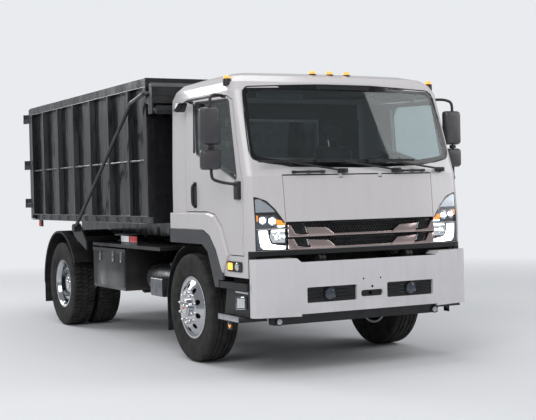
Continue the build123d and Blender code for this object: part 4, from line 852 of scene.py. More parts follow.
    def piece(self, name: str, body: str, slot: str, finishes: Sequence[Finish],
              stands_for: Sequence[str] = ()) -> bpy.types.Object:
        """Makes the object, dresses it and lets it ride.

        Args:
            name: the piece's name.
            body: CAD body that it moves with.
            slot: the record's material slot; not used.
            finishes: finishes by number.
            stands_for: CAD nodes that it stands for.

        Returns:
            The object.
        """
        mesh = self.mesh(name)
        for finish in finishes:
            mesh.materials.append(finish.material())
        mesh.polygons.foreach_set("material_index", self.marks)
        mesh.polygons.foreach_set("use_smooth", [True] * len(self.faces))
        face_outward(mesh)
        mesh.set_sharp_from_angle(angle=SHARP_EDGE)
        made = linked(name, mesh)
        settle(made, body, stands_for)
        return made


def settle(piece: bpy.types.Object, body: str, stands_for: Sequence[str]) -> None:
    """Lets a finished piece ride on a body.

    Args:
        piece: the object.
        body: CAD body that it moves with.
        stands_for: CAD nodes that it stands for.
    """
    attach(piece, body)
    if stands_for:
        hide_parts(*stands_for)
    LOG.info("%s on %s, %d faces", piece.name, body, len(piece.data.polygons))


def rounded(outline: Sequence[Flat], radius: float, steps: int = 5) -> list[Flat]:
    """Rounds an outline's corners.

    Args:
        outline: its points.
        radius: radius of the corners.
        steps: segments of each corner.

    Returns:
        The rounded outline.
    """
    out: list[Flat] = []
    for i, corner in enumerate(outline):
        here = Vector(corner)
        back = Vector(outline[i - 1]) - here
        ahead = Vector(outline[(i + 1) % len(outline)]) - here
        reach = min(radius, back.length * 0.48, ahead.length * 0.48)
        first, last = here + back.normalized() * reach, here + ahead.normalized() * reach
        for k in range(steps + 1):
            t = k / steps
            out.append(tuple(first * (1 - t) ** 2 + here * 2 * t * (1 - t) + last * t ** 2))
    return out


def flipped(outline: Sequence[Flat], sign: int) -> list[Flat]:
    """Mirrors a front outline to the side that sign names."""
    return [(sign * a, b) for a, b in outline]


def ribbon(line: Sequence[Flat], wide: float) -> list[Flat]:
    """Outline of an even strip along an open line.

    Args:
        line: the strip's middle.
        wide: its width.

    Returns:
        The outline.
    """
    points = [Vector(p) for p in line]
    near, far = [], []
    for k, here in enumerate(points):
        ahead = (points[min(k + 1, len(points) - 1)] - points[max(k - 1, 0)]).normalized()
        out = Vector((-ahead.y, ahead.x)) * wide / 2
        near.append(tuple(here + out))
        far.append(tuple(here - out))
    return near + far[::-1]


def disc(centre: Flat, radius: float, steps: int) -> list[Flat]:
    """Round outline."""
    turns = [TURN * k / steps for k in range(steps)]
    return [(centre[0] + radius * math.cos(t), centre[1] + radius * math.sin(t)) for t in turns]


def oblong(low: Flat, high: Flat, radius: float) -> list[Flat]:
    """Rectangle with rounded corners."""
    return rounded([low, (high[0], low[1]), high, (low[0], high[1])], radius)


def swept(path: Sequence[Sequence[float]], steps: int) -> list[Vector]:
    """Smooth curve through the points of a path.

    Args:
        path: corner points of the line.
        steps: points of each stretch.

    Returns:
        The curve's points.
    """
    line = [Vector(p) for p in path]
    out = []
    for k in range(len(line) - 1):
        before, a, b, after = line[max(k - 1, 0)], line[k], line[k + 1], line[min(k + 2, len(line) - 1)]
        for s in range(steps):
            t = s / steps
            out.append(0.5 * (2 * a + (b - before) * t + (2 * before - 5 * a + 4 * b - after) * t ** 2
                              + (3 * a - before - 3 * b + after) * t ** 3))
    return [*out, line[-1]]


@dataclass
class Skin:
    """Surface of some CAD nodes, onto which flat outlines are laid.

    Attributes:
        nodes: the nodes' names.
        axis: Y for the truck's front, X for a side.
        side: 1 for the left side, -1 for the right; unused for the front.
        seam: width of the seams that a plate may bridge.
        reach: how far along a ray the nearest point is looked for where the ray hits nothing.
    """

    nodes: Sequence[str]
    axis: Axis = Axis.Y
    side: int = 1
    seam: float = 0.0015
    reach: float = 1.86

    def __post_init__(self) -> None:
        """Reads the nodes' meshes."""
        whole = Shape()
        for name in self.nodes:
            mesh = bpy.data.objects[name].data
            whole.take([v.co for v in mesh.vertices], [p.vertices for p in mesh.polygons])
        self.tree = BVHTree.FromPolygons(whole.points, whole.faces)

    def at(self, flat: Flat) -> tuple[Vector, Vector]:
        """Point of the surface behind a flat point, and its outward normal.

        Args:
            flat: (x, z) on the front, or (y, z) on a side.

        Returns:
            The place and the normal.
        """
        a, b = flat
        if self.axis is Axis.Y:
            start, ray, across = Vector((a, -5, b)), Vector((0, 1, 0)), Vector((1, 0, 0))
        else:
            start, ray, across = Vector((3 * self.side, a, b)), Vector((-self.side, 0, 0)), Vector((0, 1, 0))
        best = None
        for shift in (Vector(), across, -across, Vector((0, 0, 1)), Vector((0, 0, -1))):
            hit = self.tree.ray_cast(start + shift * self.seam, ray)
            if hit[0] is not None and (best is None or hit[3] < best[3] - self.seam):
                best = hit
        place, normal = (best or self.tree.find_nearest(start + ray * self.reach))[:2]
        place = start + ray * (place - start).dot(ray)
        return place, -normal if normal.dot(ray) > 0 else normal

    def patch(self, shape: Shape, outline: Sequence[Flat], lift_mm: float, depth_mm: float,
              cell_mm: float = 30.0, mark: int = 0) -> Shape:
        """Lays an outline on the surface as a thin curved plate.

        Args:
            shape: the shape that takes it.
            outline: the plate's outline.
            lift_mm: height of its outer face over the surface, negative for below.
            depth_mm: its thickness.
            cell_mm: spacing of the inner points.
            mark: the finish number.

        Returns:
            The shape.
        """
        rim = [Vector(p) for p in outline]
        low = Vector((min(p.x for p in rim), min(p.y for p in rim)))
        high = Vector((max(p.x for p in rim), max(p.y for p in rim)))
        cell = cell_mm * MM
        points = list(rim)
        for i in range(1, int((high.x - low.x) / cell) + 1):
            for j in range(1, int((high.y - low.y) / cell) + 1):
                points.append(Vector((low.x + i * cell, low.y + j * cell)))
        edges = [(i, (i + 1) % len(rim)) for i in range(len(rim))]
        flat, _, faces = geometry.delaunay_2d_cdt(points, edges, [list(range(len(rim)))], 1, 1e-5)[:3]
        outer, inner = [], []
        for p in flat:
            place, normal = self.at((p.x, p.y))
            outer.append(place + normal * lift_mm * MM)
            inner.append(place + normal * (lift_mm - depth_mm) * MM)
        count = len(flat)
        borders = [(a, b) for face in faces for a, b in zip(face, [*face[1:], face[0]])]
        uses = Counter(frozenset(border) for border in borders)
        walls = [(a, b, b + count, a + count) for a, b in borders if uses[frozenset((a, b))] == 1]
        solid = [tuple(f) for f in faces] + [tuple(i + count for i in reversed(f)) for f in faces] + walls
        used = sorted({i for f in solid for i in f})
        index = {old: new for new, old in enumerate(used)}
        everything = outer + inner
        return shape.take([everything[i] for i in used], [[index[i] for i in f] for f in solid], mark)

    def band(self, shape: Shape, outline: Sequence[Flat], inward_mm: float, lift_mm: float, depth_mm: float,
             mark: int = 0) -> Shape:
        """Lays a closed band on the surface, between an outline and the same drawn in towards its middle.

        Args:
            shape: the shape that takes it.
            outline: the band's outer edge.
            inward_mm: the band's width.
            lift_mm: height of its outer face over the surface.
            depth_mm: its thickness.
            mark: the finish number.

        Returns:
            The shape.
        """
        rim = [Vector(p) for p in outline]
        count = len(rim)
        area = sum(rim[i - 1].x * rim[i].y - rim[i].x * rim[i - 1].y for i in range(count))
        turn = 1 if area > 0 else -1
        inside = []
        for i in range(count):
            along = (rim[(i + 1) % count] - rim[i - 1]).normalized()
            inside.append(rim[i] + Vector((-along.y, along.x)) * turn * inward_mm * MM)
        foot = lift_mm - depth_mm
        points = []
        for t, up in ((0, foot), (0, lift_mm), (0.5, lift_mm), (1, lift_mm), (1, foot)):
            for a, b in zip(rim, inside):
                p = a.lerp(b, t)
                place, normal = self.at((p.x, p.y))
                points.append(place + normal * up * MM)
        return shape.take(points, quads(5, count, wrap=True), mark)


# Geometry Nodes patterns


class Pattern(Enum):
    """Ways in which a part repeats."""

    RING = "ring"
    ROW = "row"


@dataclass
class Repeater:
    """Repeats one small part round a circle or along a line with Geometry Nodes.

    Attributes:
        pattern: ring or row.
    """

    pattern: Pattern

    def __post_init__(self) -> None:
        """Builds the node tree with named inputs."""
        tree = bpy.data.node_groups.new(f"{self.pattern.value}_of_parts", "GeometryNodeTree")
        face = tree.interface
        for name, kind in (("Part", "Object"), ("Count", "Int"), ("Radius", "Float"), ("Step", "Vector"),
                           ("Finish", "Material")):
            face.new_socket(name=name, in_out="INPUT", socket_type=f"NodeSocket{kind}")
        face.new_socket(name="Geometry", in_out="OUTPUT", socket_type="NodeSocketGeometry")
        given = add(tree, "NodeGroupInput").outputs
        part = add(tree, "GeometryNodeObjectInfo", {"Object": given["Part"]}).outputs["Geometry"]
        if self.pattern is Pattern.RING:
            line = add(tree, "GeometryNodeMeshCircle",
                       {"Vertices": given["Count"], "Radius": given["Radius"]})
            place = add(tree, "GeometryNodeInputPosition").outputs[0]
            turn = add(tree, "FunctionNodeAlignRotationToVector", {"Vector": place}, axis="X").outputs[0]
        else:
            line = add(tree, "GeometryNodeMeshLine", {"Count": given["Count"], "Offset": given["Step"]})
            turn = (0.0, 0.0, 0.0)
        spread = add(tree, "GeometryNodeInstanceOnPoints", {"Points": line.outputs["Mesh"], "Instance": part,
                                                            "Rotation": turn})
        real = add(tree, "GeometryNodeRealizeInstances", {"Geometry": spread.outputs["Instances"]})
        dressed = add(tree, "GeometryNodeSetMaterial", {"Geometry": real.outputs["Geometry"],
                                                        "Material": given["Finish"]})
        add(tree, "NodeGroupOutput", {"Geometry": dressed.outputs["Geometry"]})
        self.tree = tree

    def run(self, part: Shape, finish: Finish, count: int, radius: float = 0.0,
            step: Point = (0, 0, 0)) -> Shape:
        """Repeats a part.

        Args:
            part: the part, about the origin.
            finish: its finish.
            count: how many.
            radius: the ring's radius; the ring lies in the XY plane about the origin.
            step: the row's step.

        Returns:
            All of them as one shape.
        """
        single = linked("one_part", part.mesh("one_part"))
        holder = linked("holder", bpy.data.meshes.new("holder"))
        modifier = holder.modifiers.new("repeat", "NODES")
        modifier.node_group = self.tree
        values = {"Part": single, "Count": count, "Radius": radius, "Step": step, "Finish": finish.material()}
        for item in self.tree.interface.items_tree:
            if item.in_out == "INPUT":
                modifier[item.identifier] = values[item.name]
        bpy.context.view_layer.update()
        graph = bpy.context.evaluated_depsgraph_get()
        result = bpy.data.meshes.new_from_object(holder.evaluated_get(graph))
        out = Shape().take([v.co[:] for v in result.vertices], [tuple(p.vertices) for p in result.polygons])
        for made in (holder, single):
            data = made.data
            bpy.data.objects.remove(made)
            bpy.data.meshes.remove(data)
        bpy.data.meshes.remove(result)
        return out


# Sub-assemblies


@dataclass
class Tyres:
    """Steer and drive tyres with their tread.

    Attributes:
        bead: half width at the bead.
        half: half width at the bulge.
        tread: half width of the tread.
        foot: radius at the bead.
        widest: share of the sidewall's height at which it is widest.
        ring: height of the sidewall's moulded rings.
        drop: how much lower the tread's edges lie than its middle.
        groove: depth of the tread's grooves.
        pitches: tread blocks round a tyre.
        steps: steps round the tyre in one pitch.
    """

    bead: float = 0.1045
    half: float = 0.1395
    tread: float = 0.106
    foot: float = 0.283
    widest: float = 0.62
    ring: float = 0.0016
    drop: float = 0.004
    groove: float = 0.013
    pitches: int = 60
    steps: int = 8

    def sidewall(self, radius: float) -> list[Flat]:
        """Half section from the bead to the tread's edge, with its moulded rings.

        Args:
            radius: radius of the tread.

        Returns:
            (half width, radius) points.
        """
        span = radius - self.foot
        points = [(self.bead, self.foot), (self.bead, self.foot + 0.02 * span),
                  (self.bead + 0.004, self.foot + 0.07 * span)]
        rows = 15
        for k in range(rows):
            t = 0.08 + 0.78 * k / (rows - 1)
            if t < self.widest:
                bulge = math.sin(t / self.widest * math.pi / 2) ** 0.8
            else:
                bulge = 1 - ((t - self.widest) / 0.5) ** 2 * 0.32
            ring = self.ring if k in (1, 2, 9) else 0.0
            wide = self.bead + (self.half - self.bead) * bulge + ring - self.ring
            points.append((wide, self.foot + span * t))
        points.append((self.half - 0.010, self.foot + span * 0.925))
        points.append((self.half - 0.018, self.foot + span * 0.965))
        return points

    def carve(self, across: float, phase: float, drive: bool) -> float:
        """Depth of the tread at a place.

        Args:
            across: place across the tread, -1 to 1.
            phase: place along one pitch, 0 to 1.
            drive: True for the drive tyre's blocks.

        Returns:
            Depth below the tread's surface, in metres.
        """
        wide = abs(across)
        if not drive:
            if any(abs(wide - middle) < 0.055 for middle in (0.27, 0.66)):
                return self.groove
            return 0.0035 if phase < 0.14 and (wide > 0.9 or 0.32 < wide < 0.42) else 0.0
        lug = (phase + 0.35 * across) % 1.0
        if abs(wide - 0.36 - 0.05 * math.sin(TURN * phase)) < 0.05:
            return self.groove
        if wide > 0.42 and lug < 0.22:
            return self.groove
        if wide <= 0.32 and ((phase + 0.5 + 0.3 * across) % 1.0) < 0.14:
            return self.groove * 0.8
        return 0.0

    def tyre(self, shape: Shape, centre: Vector, radius: float, drive: bool) -> None:
        """Adds one tyre to a shape.

        Args:
            shape: the shape that takes it.
            centre: the tyre's middle.
            radius: its outer radius.
            drive: True for the drive tyre's blocks.
        """
        wall = self.sidewall(radius)
        columns = 41 if drive else 49
        crown = [2 * i / (columns - 1) - 1 for i in range(columns)]
        rings = self.pitches * self.steps
        width = len(wall) * 2 + columns
        points: list[Point] = []
        for k in range(rings):
            turn = TURN * k / rings
            phase = k % self.steps / self.steps
            tops = [(a * self.tread, radius - self.drop * a * a - self.carve(a, phase, drive)) for a in crown]
            for x, r in [*flipped(wall, -1), *tops, *wall[::-1]]:
                points.append((centre.x + x, centre.y + r * math.cos(turn), centre.z + r * math.sin(turn)))
        shape.take(points, quads(rings, width, wrap=True, across=True))

    def build(self) -> None:
        """Makes every tyre in place of its CAD node."""
        for side in SIDES:
            low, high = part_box(f"front_tyre_{side}")
            radius = (high.z - low.z) / 2
            front = Shape()
            self.tyre(front, (low + high) / 2, radius, False)
            front.piece(f"tread_front_{side}", f"front_wheel_{side}", "tyre", [Finishes.TYRE],
                        [f"front_tyre_{side}"])
            low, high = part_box(f"rear_tyres_{side}")
            middle = (low + high) / 2
            pair = Shape()
            for x in (low.x + self.half, high.x - self.half):
                self.tyre(pair, Vector((x, middle.y, middle.z)), radius, True)
            pair.piece(f"tread_rear_{side}", f"rear_wheels_{side}", "tyre", [Finishes.TYRE],
                       [f"rear_tyres_{side}"])


@dataclass
class WheelTrim:
    """Nuts, nut covers and hub cap of each wheel.

    Attributes:
        nuts: nuts on a wheel.
        circle: radius of the nuts' circle.
        across: width of a nut.
        ring: maker of the nuts' circle.
        ends: for each wheel end its body, its rim's node, the places across the truck of the nuts' and the
            cap's faces, the nuts' height, and the cap's rings as (radius, depth, finish).
    """

    nuts: int = 10
    circle: float = 0.1425
    across: float = 0.0155
    ring: Repeater = field(default_factory=lambda: Repeater(Pattern.RING))
    ends: ClassVar[dict[str, tuple]] = {
        # The front cap's middle ring takes the red lens finish, whose faint glow is painted light, as the cap
        # is no lamp
        "front": ("front_wheel", "front_rim", 1.188, 1.222, 0.036,
                  ((0.058, 0.010, 0), (0.034, 0.018, 0), (0.016, 0.021, 1))),
        "rear": ("rear_wheels", "rear_rims", 0.932, 1.135, 0.050, ((0.070, 0.010, 0), (0.040, 0.014, 0))),
    }

    def nut(self, height: float) -> Shape:
        """One covered nut along +Z, on the origin.

        Args:
            height: the nut's height.

        Returns:
            The shape.
        """
        r = self.across
        profile = [(0.0, r * 1.25), (0.004, r * 1.25), (0.006, r), (height * 0.6, r),
                   (height * 0.85, r * 0.8), (height, r * 0.4)]
        return Shape().lathe(profile, (0, 0, 0), 12, axis=Axis.Z)

    def build(self) -> None:
        """Makes the trim of the four wheel ends."""
        for side, sign in SIDES.items():
            outward = Matrix.Rotation(math.radians(90) * sign, 4, "Y")
            for place, (body, rim, face, cap, height, rings) in self.ends.items():
                node = f"{rim}_{side}"
                low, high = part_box(node)
                centre = (low + high) / 2
                nuts = self.ring.run(self.nut(height), Finishes.CHROME, self.nuts, self.circle)
                whole = nuts.moved(Matrix.Translation((face * sign, centre.y, centre.z)) @ outward)
                for radius, deep, mark in rings:
                    profile = [(-0.001, radius), (deep * 0.7, radius), (deep, radius * 0.85),
                               (deep, radius * 0.3)]
                    whole.lathe(profile, (cap * sign, centre.y, centre.z), 32, mark, sign=sign)
                whole.piece(f"nuts_{place}_{side}", f"{body}_{side}", "chrome",
                            [Finishes.CHROME, Finishes.RED])


@dataclass
class Glazing:
    """Black borders, rubber seals and the bright strip of the screens and door windows.

    Attributes:
        screen: outer edge of the windscreen's black border, left half from the foot up, as (x, z).
        window: outline of a door's pane, as (y, z).
        sill: line of the bright strip along the pane's foot.
        post: outline of the gloss post behind the pane.
    """

    screen: Outline = ((0.30, 1.812), (0.62, 1.824), (0.90, 1.852), (1.03, 1.882), (1.068, 1.945),
                       (1.062, 2.12), (1.045, 2.36), (1.032, 2.50), (0.99, 2.552), (0.60, 2.570),
                       (0.25, 2.578))
    window: Outline = ((-2.9035, 1.730), (-2.4535, 1.885), (-2.0585, 1.990), (-2.0335, 2.455),
                       (-2.7435, 2.430))
    sill: Outline = ((-2.895, 1.716), (-2.66, 1.797), (-2.4535, 1.868), (-2.25, 1.922), (-2.062, 1.972))
    post: Outline = ((-2.030, 1.99), (-1.985, 1.99), (-1.985, 2.455), (-2.010, 2.455))

    def build(self) -> None:
        """Makes the borders, seals and strips."""
        front = Skin(["cab_front_panels", "cab_glass"])
        outline = rounded([*self.screen, *flipped(self.screen[::-1], -1)], 0.05, 4)
        seal = front.band(Shape(), outline, 46, 1.2, 2.2, 0)
        front.band(seal, outline, 10, 3.0, 4.0, 1)
        seal.piece("screen_border", "cab", "black_plastic", [Finishes.GLOSS, Finishes.GASKET])
        pane = rounded(self.window, 0.035)
        for side, sign in SIDES.items():
            door = f"door_{side}"
            flank = Skin([door, f"door_glass_{side}"], Axis.X, sign)
            rim = flank.band(Shape(), pane, -16, 2.5, 4.5)
            flank.band(rim, pane, 9, 1.0, 2.0)
            rim.piece(f"window_seal_{side}", door, "black_plastic", [Finishes.GASKET])
            strip = flank.patch(Shape(), ribbon(self.sill, 0.012), 5.0, 5.0, 60)
            strip.piece(f"window_strip_{side}", door, "chrome", [Finishes.CHROME])
            post = flank.patch(Shape(), self.post, 1.5, 3.0, 60)
            post.piece(f"window_post_{side}", door, "black_plastic", [Finishes.GLOSS])


@dataclass
class Headlamps:
    """Corner lamps behind clear covers: silver brow, bulbs, turn lamp, a bright L and an LED lens.

    Attributes:
        rim: the cover's outline on the left lamp, as (x, z).
        ridge: line of the two mouldings along the upper inner edge.
        plates: plates inside the lamp as (outline, lift, depth, spacing of inner points, finish), in mm.
        bowls: round bowls with a bulb as (x, z, radius).
    """

    rim: Outline = ((0.783, 1.098), (1.075, 1.098), (1.075, 1.556), (1.062, 1.562), (1.045, 1.557),
                    (0.960, 1.527), (0.882, 1.453), (0.834, 1.387), (0.800, 1.338), (0.783, 1.334))
    ridge: Outline = ((1.055, 1.552), (0.961, 1.517), (0.888, 1.447), (0.842, 1.383), (0.806, 1.335))
    brow: ClassVar[Outline] = ((1.066, 1.430), (1.066, 1.540), (1.052, 1.546), (1.020, 1.532), (0.968, 1.508),
                               (0.918, 1.476), (0.872, 1.430))
    brow_edge: ClassVar[Outline] = ((1.066, 1.422), (0.870, 1.422), (0.862, 1.412), (1.066, 1.412))
    upper_well: ClassVar[Outline] = ((1.066, 1.406), (0.862, 1.406), (0.815, 1.350), (0.790, 1.338),
                                     (0.790, 1.286), (1.066, 1.286))
    turn_lamp: ClassVar[Outline] = ((0.884, 1.366), (0.792, 1.352), (0.792, 1.312), (0.850, 1.310),
                                    (0.872, 1.322))
    turn_foot: ClassVar[Outline] = ((0.868, 1.308), (0.800, 1.310), (0.800, 1.300), (0.858, 1.298))
    corner_lamp: ClassVar[Outline] = ((1.062, 1.404), (1.049, 1.404), (1.052, 1.352), (1.062, 1.352))
    chrome_bar: ClassVar[Outline] = ((1.068, 1.286), (0.788, 1.286), (0.788, 1.279), (1.068, 1.279))
    lower_well: ClassVar[Outline] = ((1.070, 1.276), (1.050, 1.276), (1.046, 1.190), (1.034, 1.124),
                                     (1.004, 1.101), (1.070, 1.101))
    ell: ClassVar[Outline] = ((1.042, 1.270), (1.038, 1.192), (1.026, 1.130), (0.998, 1.107), (0.899, 1.103),
                              (0.800, 1.105), (0.794, 1.129), (0.832, 1.134), (0.917, 1.147), (0.938, 1.162),
                              (0.957, 1.211), (0.965, 1.268))
    lens: ClassVar[Outline] = ((0.927, 1.275), (0.796, 1.275), (0.796, 1.160), (0.915, 1.164), (0.942, 1.211))
    lens_edge: ClassVar[Outline] = ((0.920, 1.272), (0.800, 1.272), (0.800, 1.258), (0.925, 1.258))
    plates: ClassVar[tuple[tuple[Outline, float, float, float, int], ...]] = (
        (brow, -5, 8, 24, 1), (brow_edge, -4, 24, 50, 0), (upper_well, -26, 4, 30, 2),
        (turn_lamp, -6, 10, 24, 5), (turn_foot, -5, 10, 24, 4), (corner_lamp, -5, 8, 24, 5),
        (chrome_bar, -4, 26, 50, 6), (lower_well, -6, 10, 30, 2), (ell, -5, 10, 22, 4), (lens, -14, 6, 24, 3),
        (lens_edge, -8, 8, 24, 4),
    )
    bowls: tuple[Point, ...] = ((1.006, 1.360, 0.034), (0.918, 1.352, 0.036), (0.878, 1.216, 0.036),
                                (0.820, 1.216, 0.020))

    @staticmethod
    def bowl(shape: Shape, place: Vector, radius: float) -> None:
        """Sets one round bowl with its bulb into the lamp.

        Args:
            shape: the shape that takes it.
            place: its middle, on the lamp's surface.
            radius: its radius.
        """
        bowl = [(0.030, radius + 0.004), (0.004, radius + 0.004), (0.002, radius), (0.022, radius * 0.55),
                (0.026, radius * 0.2)]
        shape.lathe(bowl, place, 28, 3, Axis.Y)
        bulb = [(0.024, radius * 0.30), (0.014, radius * 0.38), (0.008, radius * 0.30),
                (0.005, radius * 0.12)]
        shape.lathe(bulb, place, 20, 4, Axis.Y)

    def build(self) -> None:
        """Makes both lamps in place of the plain solids."""
        skin = Skin(["headlamps"])
        inside, covers = Shape(), Shape()
        for sign in SIDES.values():
            rim, ridge = flipped(self.rim, sign), flipped(self.ridge, sign)
            lower = [(x - 0.018 * sign, z - 0.010) for x, z in ridge]
            skin.patch(inside, rim, -34, 6, 60, 0)
            skin.band(inside, rim, 5, -2.5, 34, 0)
            skin.patch(inside, ribbon(ridge, 0.010), -3.5, 20, 40, 0)
            skin.patch(inside, ribbon(lower, 0.008), -4, 14, 40, 1)
            for outline, lift, depth, cell, mark in self.plates:
                skin.patch(inside, flipped(outline, sign), lift, depth, cell, mark)
            for x, z, radius in self.bowls:
                self.bowl(inside, skin.at((x * sign, z))[0], radius)
            skin.patch(covers, rim, 0.0, 3.0, 24, 0)
        inside.piece("headlamp_internals", "cab", "chrome",
                     [Finishes.GLOSS, Finishes.BROW, Finishes.BEZEL, Finishes.REFLECTOR, Finishes.BEAM,
                      Finishes.AMBER, Finishes.CHROME], ["headlamps"])
        covers.piece("headlamp_covers", "cab", "lamp_clear", [Finishes.COVER])


@dataclass
class Grille:
    """Black hexagon mesh with two satin chrome bars, their angular blocks and end wedges.

    Attributes:
        low: its foot.
        high: its top.
        face: place of the bars' front along Y.
        across: width of a mesh cell.
        mesh_half: half width of the mesh.
        blocks: angular chrome blocks and end wedges of the left side, as (x, z).
        notches: bright slots in the blocks.
        wells: dark pockets beside them.
        bars: straight bars as (half width, foot, top, front and back behind the face, rounding in mm,
            finish).
        angles: plates of both sides as (front and back behind the face, rounding in mm, finish, outlines).
        rows: maker of the mesh's rows.
    """

    low: float = 1.096
    high: float = 1.334
    face: float = -3.1725
    across: float = 0.030
    mesh_half: float = 0.60
    blocks: ClassVar[tuple[Outline, ...]] = (
        ((0.592, 1.290), (0.392, 1.282), (0.312, 1.226), (0.312, 1.206), (0.566, 1.206), (0.572, 1.232)),
        ((0.578, 1.180), (0.368, 1.168), (0.302, 1.112), (0.302, 1.097), (0.548, 1.097), (0.556, 1.120)),
        ((0.777, 1.314), (0.752, 1.306), (0.708, 1.238), (0.66, 1.229), (0.572, 1.227), (0.572, 1.206),
         (0.777, 1.206)),
        ((0.777, 1.192), (0.722, 1.190), (0.684, 1.124), (0.60, 1.115), (0.545, 1.113), (0.545, 1.097),
         (0.777, 1.097)),
    )
    notches: ClassVar[tuple[Outline, ...]] = (
        ((0.612, 1.294), (0.600, 1.294), (0.580, 1.240), (0.592, 1.240)),
        ((0.598, 1.184), (0.586, 1.184), (0.566, 1.130), (0.578, 1.130)),
    )
    wells: ClassVar[tuple[Outline, ...]] = (
        ((0.745, 1.322), (0.604, 1.322), (0.585, 1.232), (0.700, 1.232)),
        ((0.715, 1.200), (0.595, 1.200), (0.565, 1.120), (0.680, 1.120)),
    )
    bars: ClassVar[tuple[tuple, ...]] = (
        (0.779, 1.096, 1.334, 0.046, 0.064, 0, 0), (0.60, 1.206, 1.226, 0.004, 0.030, 3, 2),
        (0.60, 1.097, 1.113, 0.004, 0.030, 3, 2), (0.34, 1.321, 1.329, 0.020, 0.046, 2, 1),
        (0.34, 1.186, 1.194, 0.020, 0.046, 2, 1),
    )
    angles: ClassVar[tuple[tuple, ...]] = (
        (0.0, 0.046, 4, 2, blocks), (0.004, 0.034, 2, 3, notches), (0.030, 0.046, 2, 0, wells),
    )
    rows: Repeater = field(default_factory=lambda: Repeater(Pattern.ROW))

    def mesh(self) -> Shape:
        """Sheet of hexagon cells between the blocks.

        Returns:
            The shape.
        """
        outer, inner = self.across / math.sqrt(3) * 1.06, self.across / math.sqrt(3) * 0.80
        points = []
        for radius, y in ((outer, -0.005), (inner, -0.005), (inner * 0.9, 0.005), (outer, 0.005)):
            points += [(radius * math.sin(TURN * k / 6), y, radius * math.cos(TURN * k / 6))
                       for k in range(6)]
        cell = Shape().take(points, quads(4, 6, wrap=True))
        rise = self.across * math.sqrt(3) / 2
        sheet = Shape()
        count = int(2 * self.mesh_half / self.across)
        for line in range(int((self.high - self.low) / rise)):
            shift = self.across / 2 * (line % 2)
            row = self.rows.run(cell, Finishes.GLOSS, count - line % 2, step=(self.across, 0, 0))
            left = -self.across * (count - 1) / 2 + shift
            moved = row.moved(Matrix.Translation((left, self.face + 0.040, self.low + 0.016 + line * rise)))
            sheet.take(moved.points, moved.faces, 1)
        return sheet

    def build(self) -> None:
        """Makes the grille in place of the plain solid."""
        shape = self.mesh()
        for half, low, high, near, far, round_mm, mark in self.bars:
            shape.prism([(-half, low), (half, low), (half, high), (-half, high)], Axis.Y, self.face + near,
                        self.face + far, round_mm, mark)
        for near, far, round_mm, mark, outlines in self.angles:
            for outline in outlines:
                for sign in SIDES.values():
                    shape.prism(flipped(outline, sign), Axis.Y, self.face + near, self.face + far, round_mm,
                                mark)
        shape.piece("grille_bars", "cab", "chrome",
                    [Finishes.GLOSS, Finishes.BLACK, Finishes.ROSE_CHROME, Finishes.CHROME], ["grille"])


@dataclass
class MarkerLamps:
    """Five amber domes on black feet along the roof's front edge.

    Attributes:
        feet: place of each dome's foot.
    """

    feet: tuple[Point, ...] = ((-0.188, -2.6315, 2.697), (0.0, -2.6315, 2.697), (0.188, -2.6315, 2.697),
                               (-1.100, -2.6835, 2.626), (1.100, -2.6835, 2.626))

    def build(self) -> None:
        """Makes the lamps in place of the plain solids."""
        shape = Shape()
        foot = [(-0.060, 0.038), (-0.004, 0.038), (0.003, 0.035), (0.003, 0.010)]
        dome = [(0.001, 0.032)]
        dome += [(0.004 + 0.032 * math.sin(t), 0.032 * math.cos(t)) for t in (0.0, 0.3, 0.6, 0.9, 1.15, 1.4)]
        for place in self.feet:
            shape.lathe(foot, place, 24, 0, Axis.Z)
            shape.lathe(dome, place, 24, 1, Axis.Z)
        shape.piece("roof_lamps", "cab", "lamp_amber", [Finishes.BLACK, Finishes.AMBER_LIT], ["marker_lamps"])


